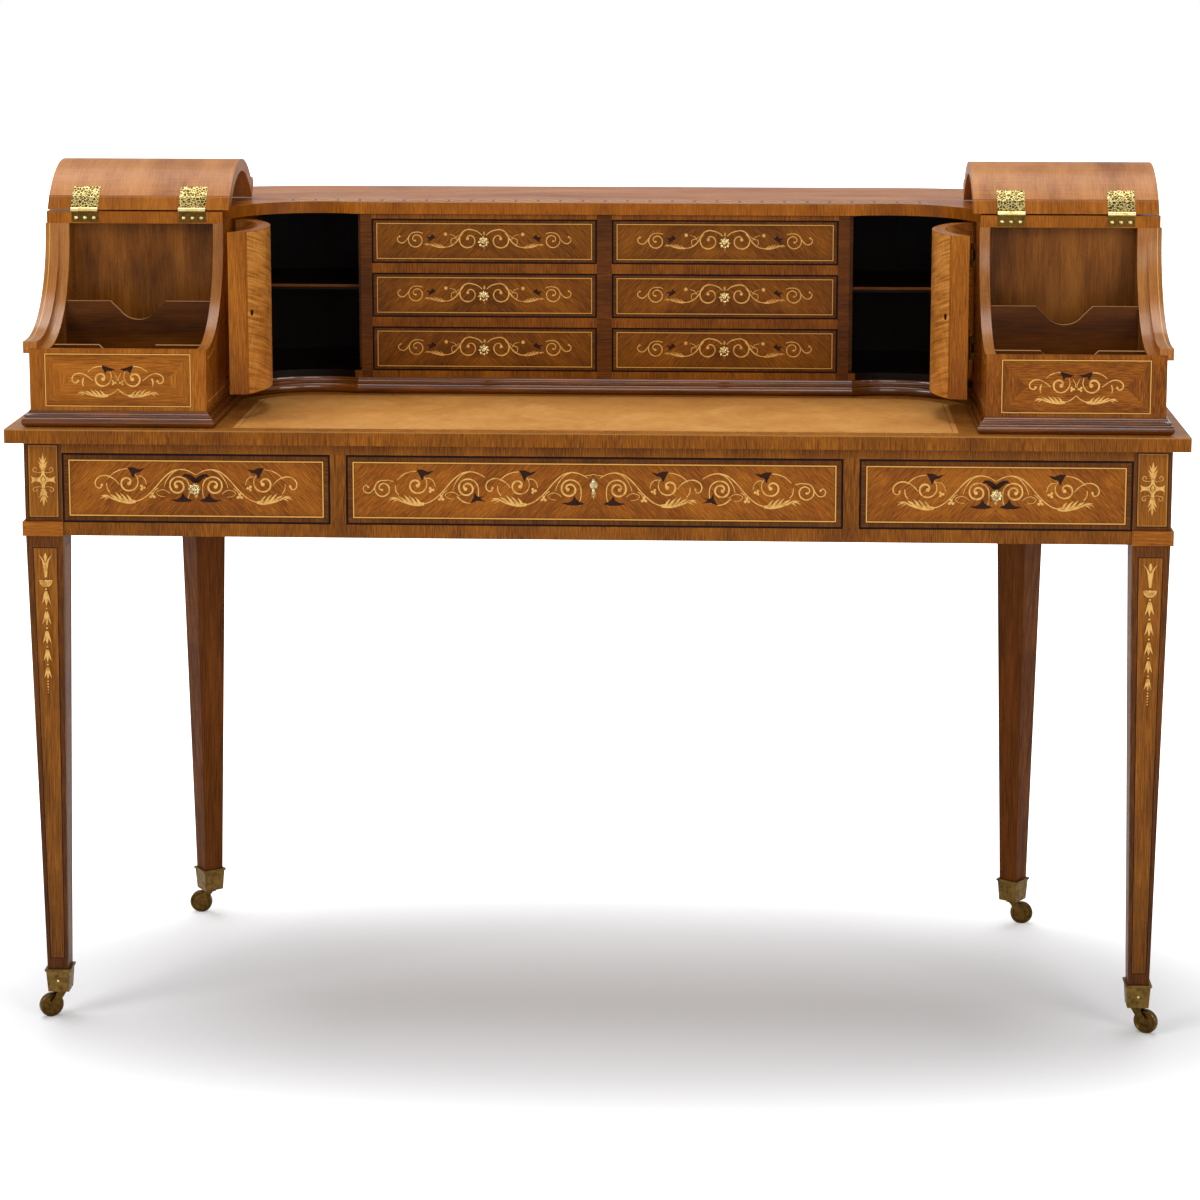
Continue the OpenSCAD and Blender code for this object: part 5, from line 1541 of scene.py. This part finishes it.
@dataclass
class Studio:
    """Floor, light and camera."""

    location: tuple[float, float, float] = (0.1897, -4.2903, 1.4553)
    yaw: float = 2.59
    pitch: float = 8.91
    lens: float = 97.93
    shift: float = -0.17
    fill: float = 0.13
    mirrored: float = 0.5

    TINT = "fffaf4"
    AIM = (0.0, 0.0, 0.75)
    FLOOR_GLOW = 4.4

    def floor(self) -> None:
        """Lays a pale floor that keeps the shadow."""
        bm = bmesh.new()
        bmesh.ops.create_grid(bm, x_segments=1, y_segments=1, size=30.0)
        mesh = bpy.data.meshes.new("floor")
        bm.to_mesh(mesh)
        bm.free()
        r = Recipe("floor_white")
        r.feed("Base Color", rgb("f3f6fb"))
        r.feed("Roughness", 0.75)
        glow = r.node("ShaderNodeEmission", None, {"Strength": self.FLOOR_GLOW})
        away = (r.x * 0.45).reach(r.y + 0.15).rise(0.25, 0.9)
        share = r.node("ShaderNodeLightPath", out="Is Camera Ray") * (away * 0.3 + 0.018)
        lit = {0: share, 1: Value(r, r.shader.outputs[0]), 2: glow}
        r.join(r.node("ShaderNodeMixShader", None, lit), r.output.inputs[0])
        mesh.materials.append(r.material)
        ground = bpy.data.objects.new("floor", mesh)
        bpy.context.scene.collection.objects.link(ground)

    def world(self) -> None:
        """Sets a white surround that lights the desk at a plain level."""
        world = bpy.data.worlds.new("studio")
        bpy.context.scene.world = world
        world.use_nodes = True
        g = Graph(world.node_tree)
        back = g.tree.nodes["Background"]
        camera, glossy, passing = (
            g.node("ShaderNodeLightPath", out=f"Is {kind} Ray")
            for kind in ("Camera", "Glossy", "Transmission")
        )
        g.join((1.0, 1.0, 1.0, 1.0), back.inputs["Color"])
        g.join(camera.high(glossy.high(passing) * self.mirrored).high(self.fill), back.inputs["Strength"])

    def lamp(self, name: str, spot: Sequence[float], size: float, power: float) -> None:
        """Adds a soft square lamp aimed at the middle of the desk."""
        data = bpy.data.lights.new(name, "AREA")
        data.size = size
        data.energy = power
        data.color = rgb(self.TINT)[:3]
        lamp = bpy.data.objects.new(name, data)
        lamp.location = spot
        lamp.rotation_euler = (Vector(self.AIM) - Vector(spot)).to_track_quat("-Z", "Y").to_euler()
        bpy.context.scene.collection.objects.link(lamp)

    def sky(self) -> None:
        """Adds wide, weak light from above."""
        data = bpy.data.lights.new("sky", "SUN")
        data.energy = 2.2
        data.angle = math.radians(50)
        sky = bpy.data.objects.new("sky", data)
        sky.rotation_euler = (math.radians(-14), math.radians(-6), 0.0)
        bpy.context.scene.collection.objects.link(sky)

    def camera(self) -> None:
        """Sets the photograph's view."""
        data = bpy.data.cameras.new("camera")
        data.lens = self.lens
        data.sensor_width = 36.0
        data.shift_y = self.shift
        camera = bpy.data.objects.new("camera", data)
        camera.location = self.location
        camera.rotation_euler = (math.radians(90 - self.pitch), 0.0, math.radians(self.yaw))
        bpy.context.scene.collection.objects.link(camera)
        bpy.context.scene.camera = camera

    def build(self) -> None:
        """Builds the studio."""
        bpy.context.scene.view_settings.view_transform = "Standard"
        self.floor()
        self.world()
        self.lamp("lamp_left", (-2.9, -2.4, 2.6), 1.5, 46.0)
        self.lamp("lamp_right", (2.7, -3.3, 1.9), 1.8, 46.0)
        self.lamp("lamp_front", (0.4, -4.4, 2.5), 1.8, 38.0)
        self.sky()
        self.camera()


def main() -> None:
    """Builds the looks in order."""
    logging.basicConfig(level=logging.INFO, format="%(name)s: %(message)s")
    Dresser().build()
    light = InlayWood("boxwood_inlay", "e8b766", "a8702a").material()
    dark = InlayWood("scorched_inlay", "321606", "160802").material()
    shade = InlayWood("shaded_inlay", "8a5520", "6a3d12").material()
    knobs = Brass("knob_brass", "ecd79c", "a07c40", 0.24, worked=True, cell_scale=520.0, hollow_from=0.24)
    Marquetry((light, dark, shade)).build()
    Knobs(knobs.material()).build()
    Fittings(Brass("screw_brass", "f2dc9a", "c09c50", 0.26).material(), dark).build()
    Studio().build()


if __name__ == "__main__":
    main()
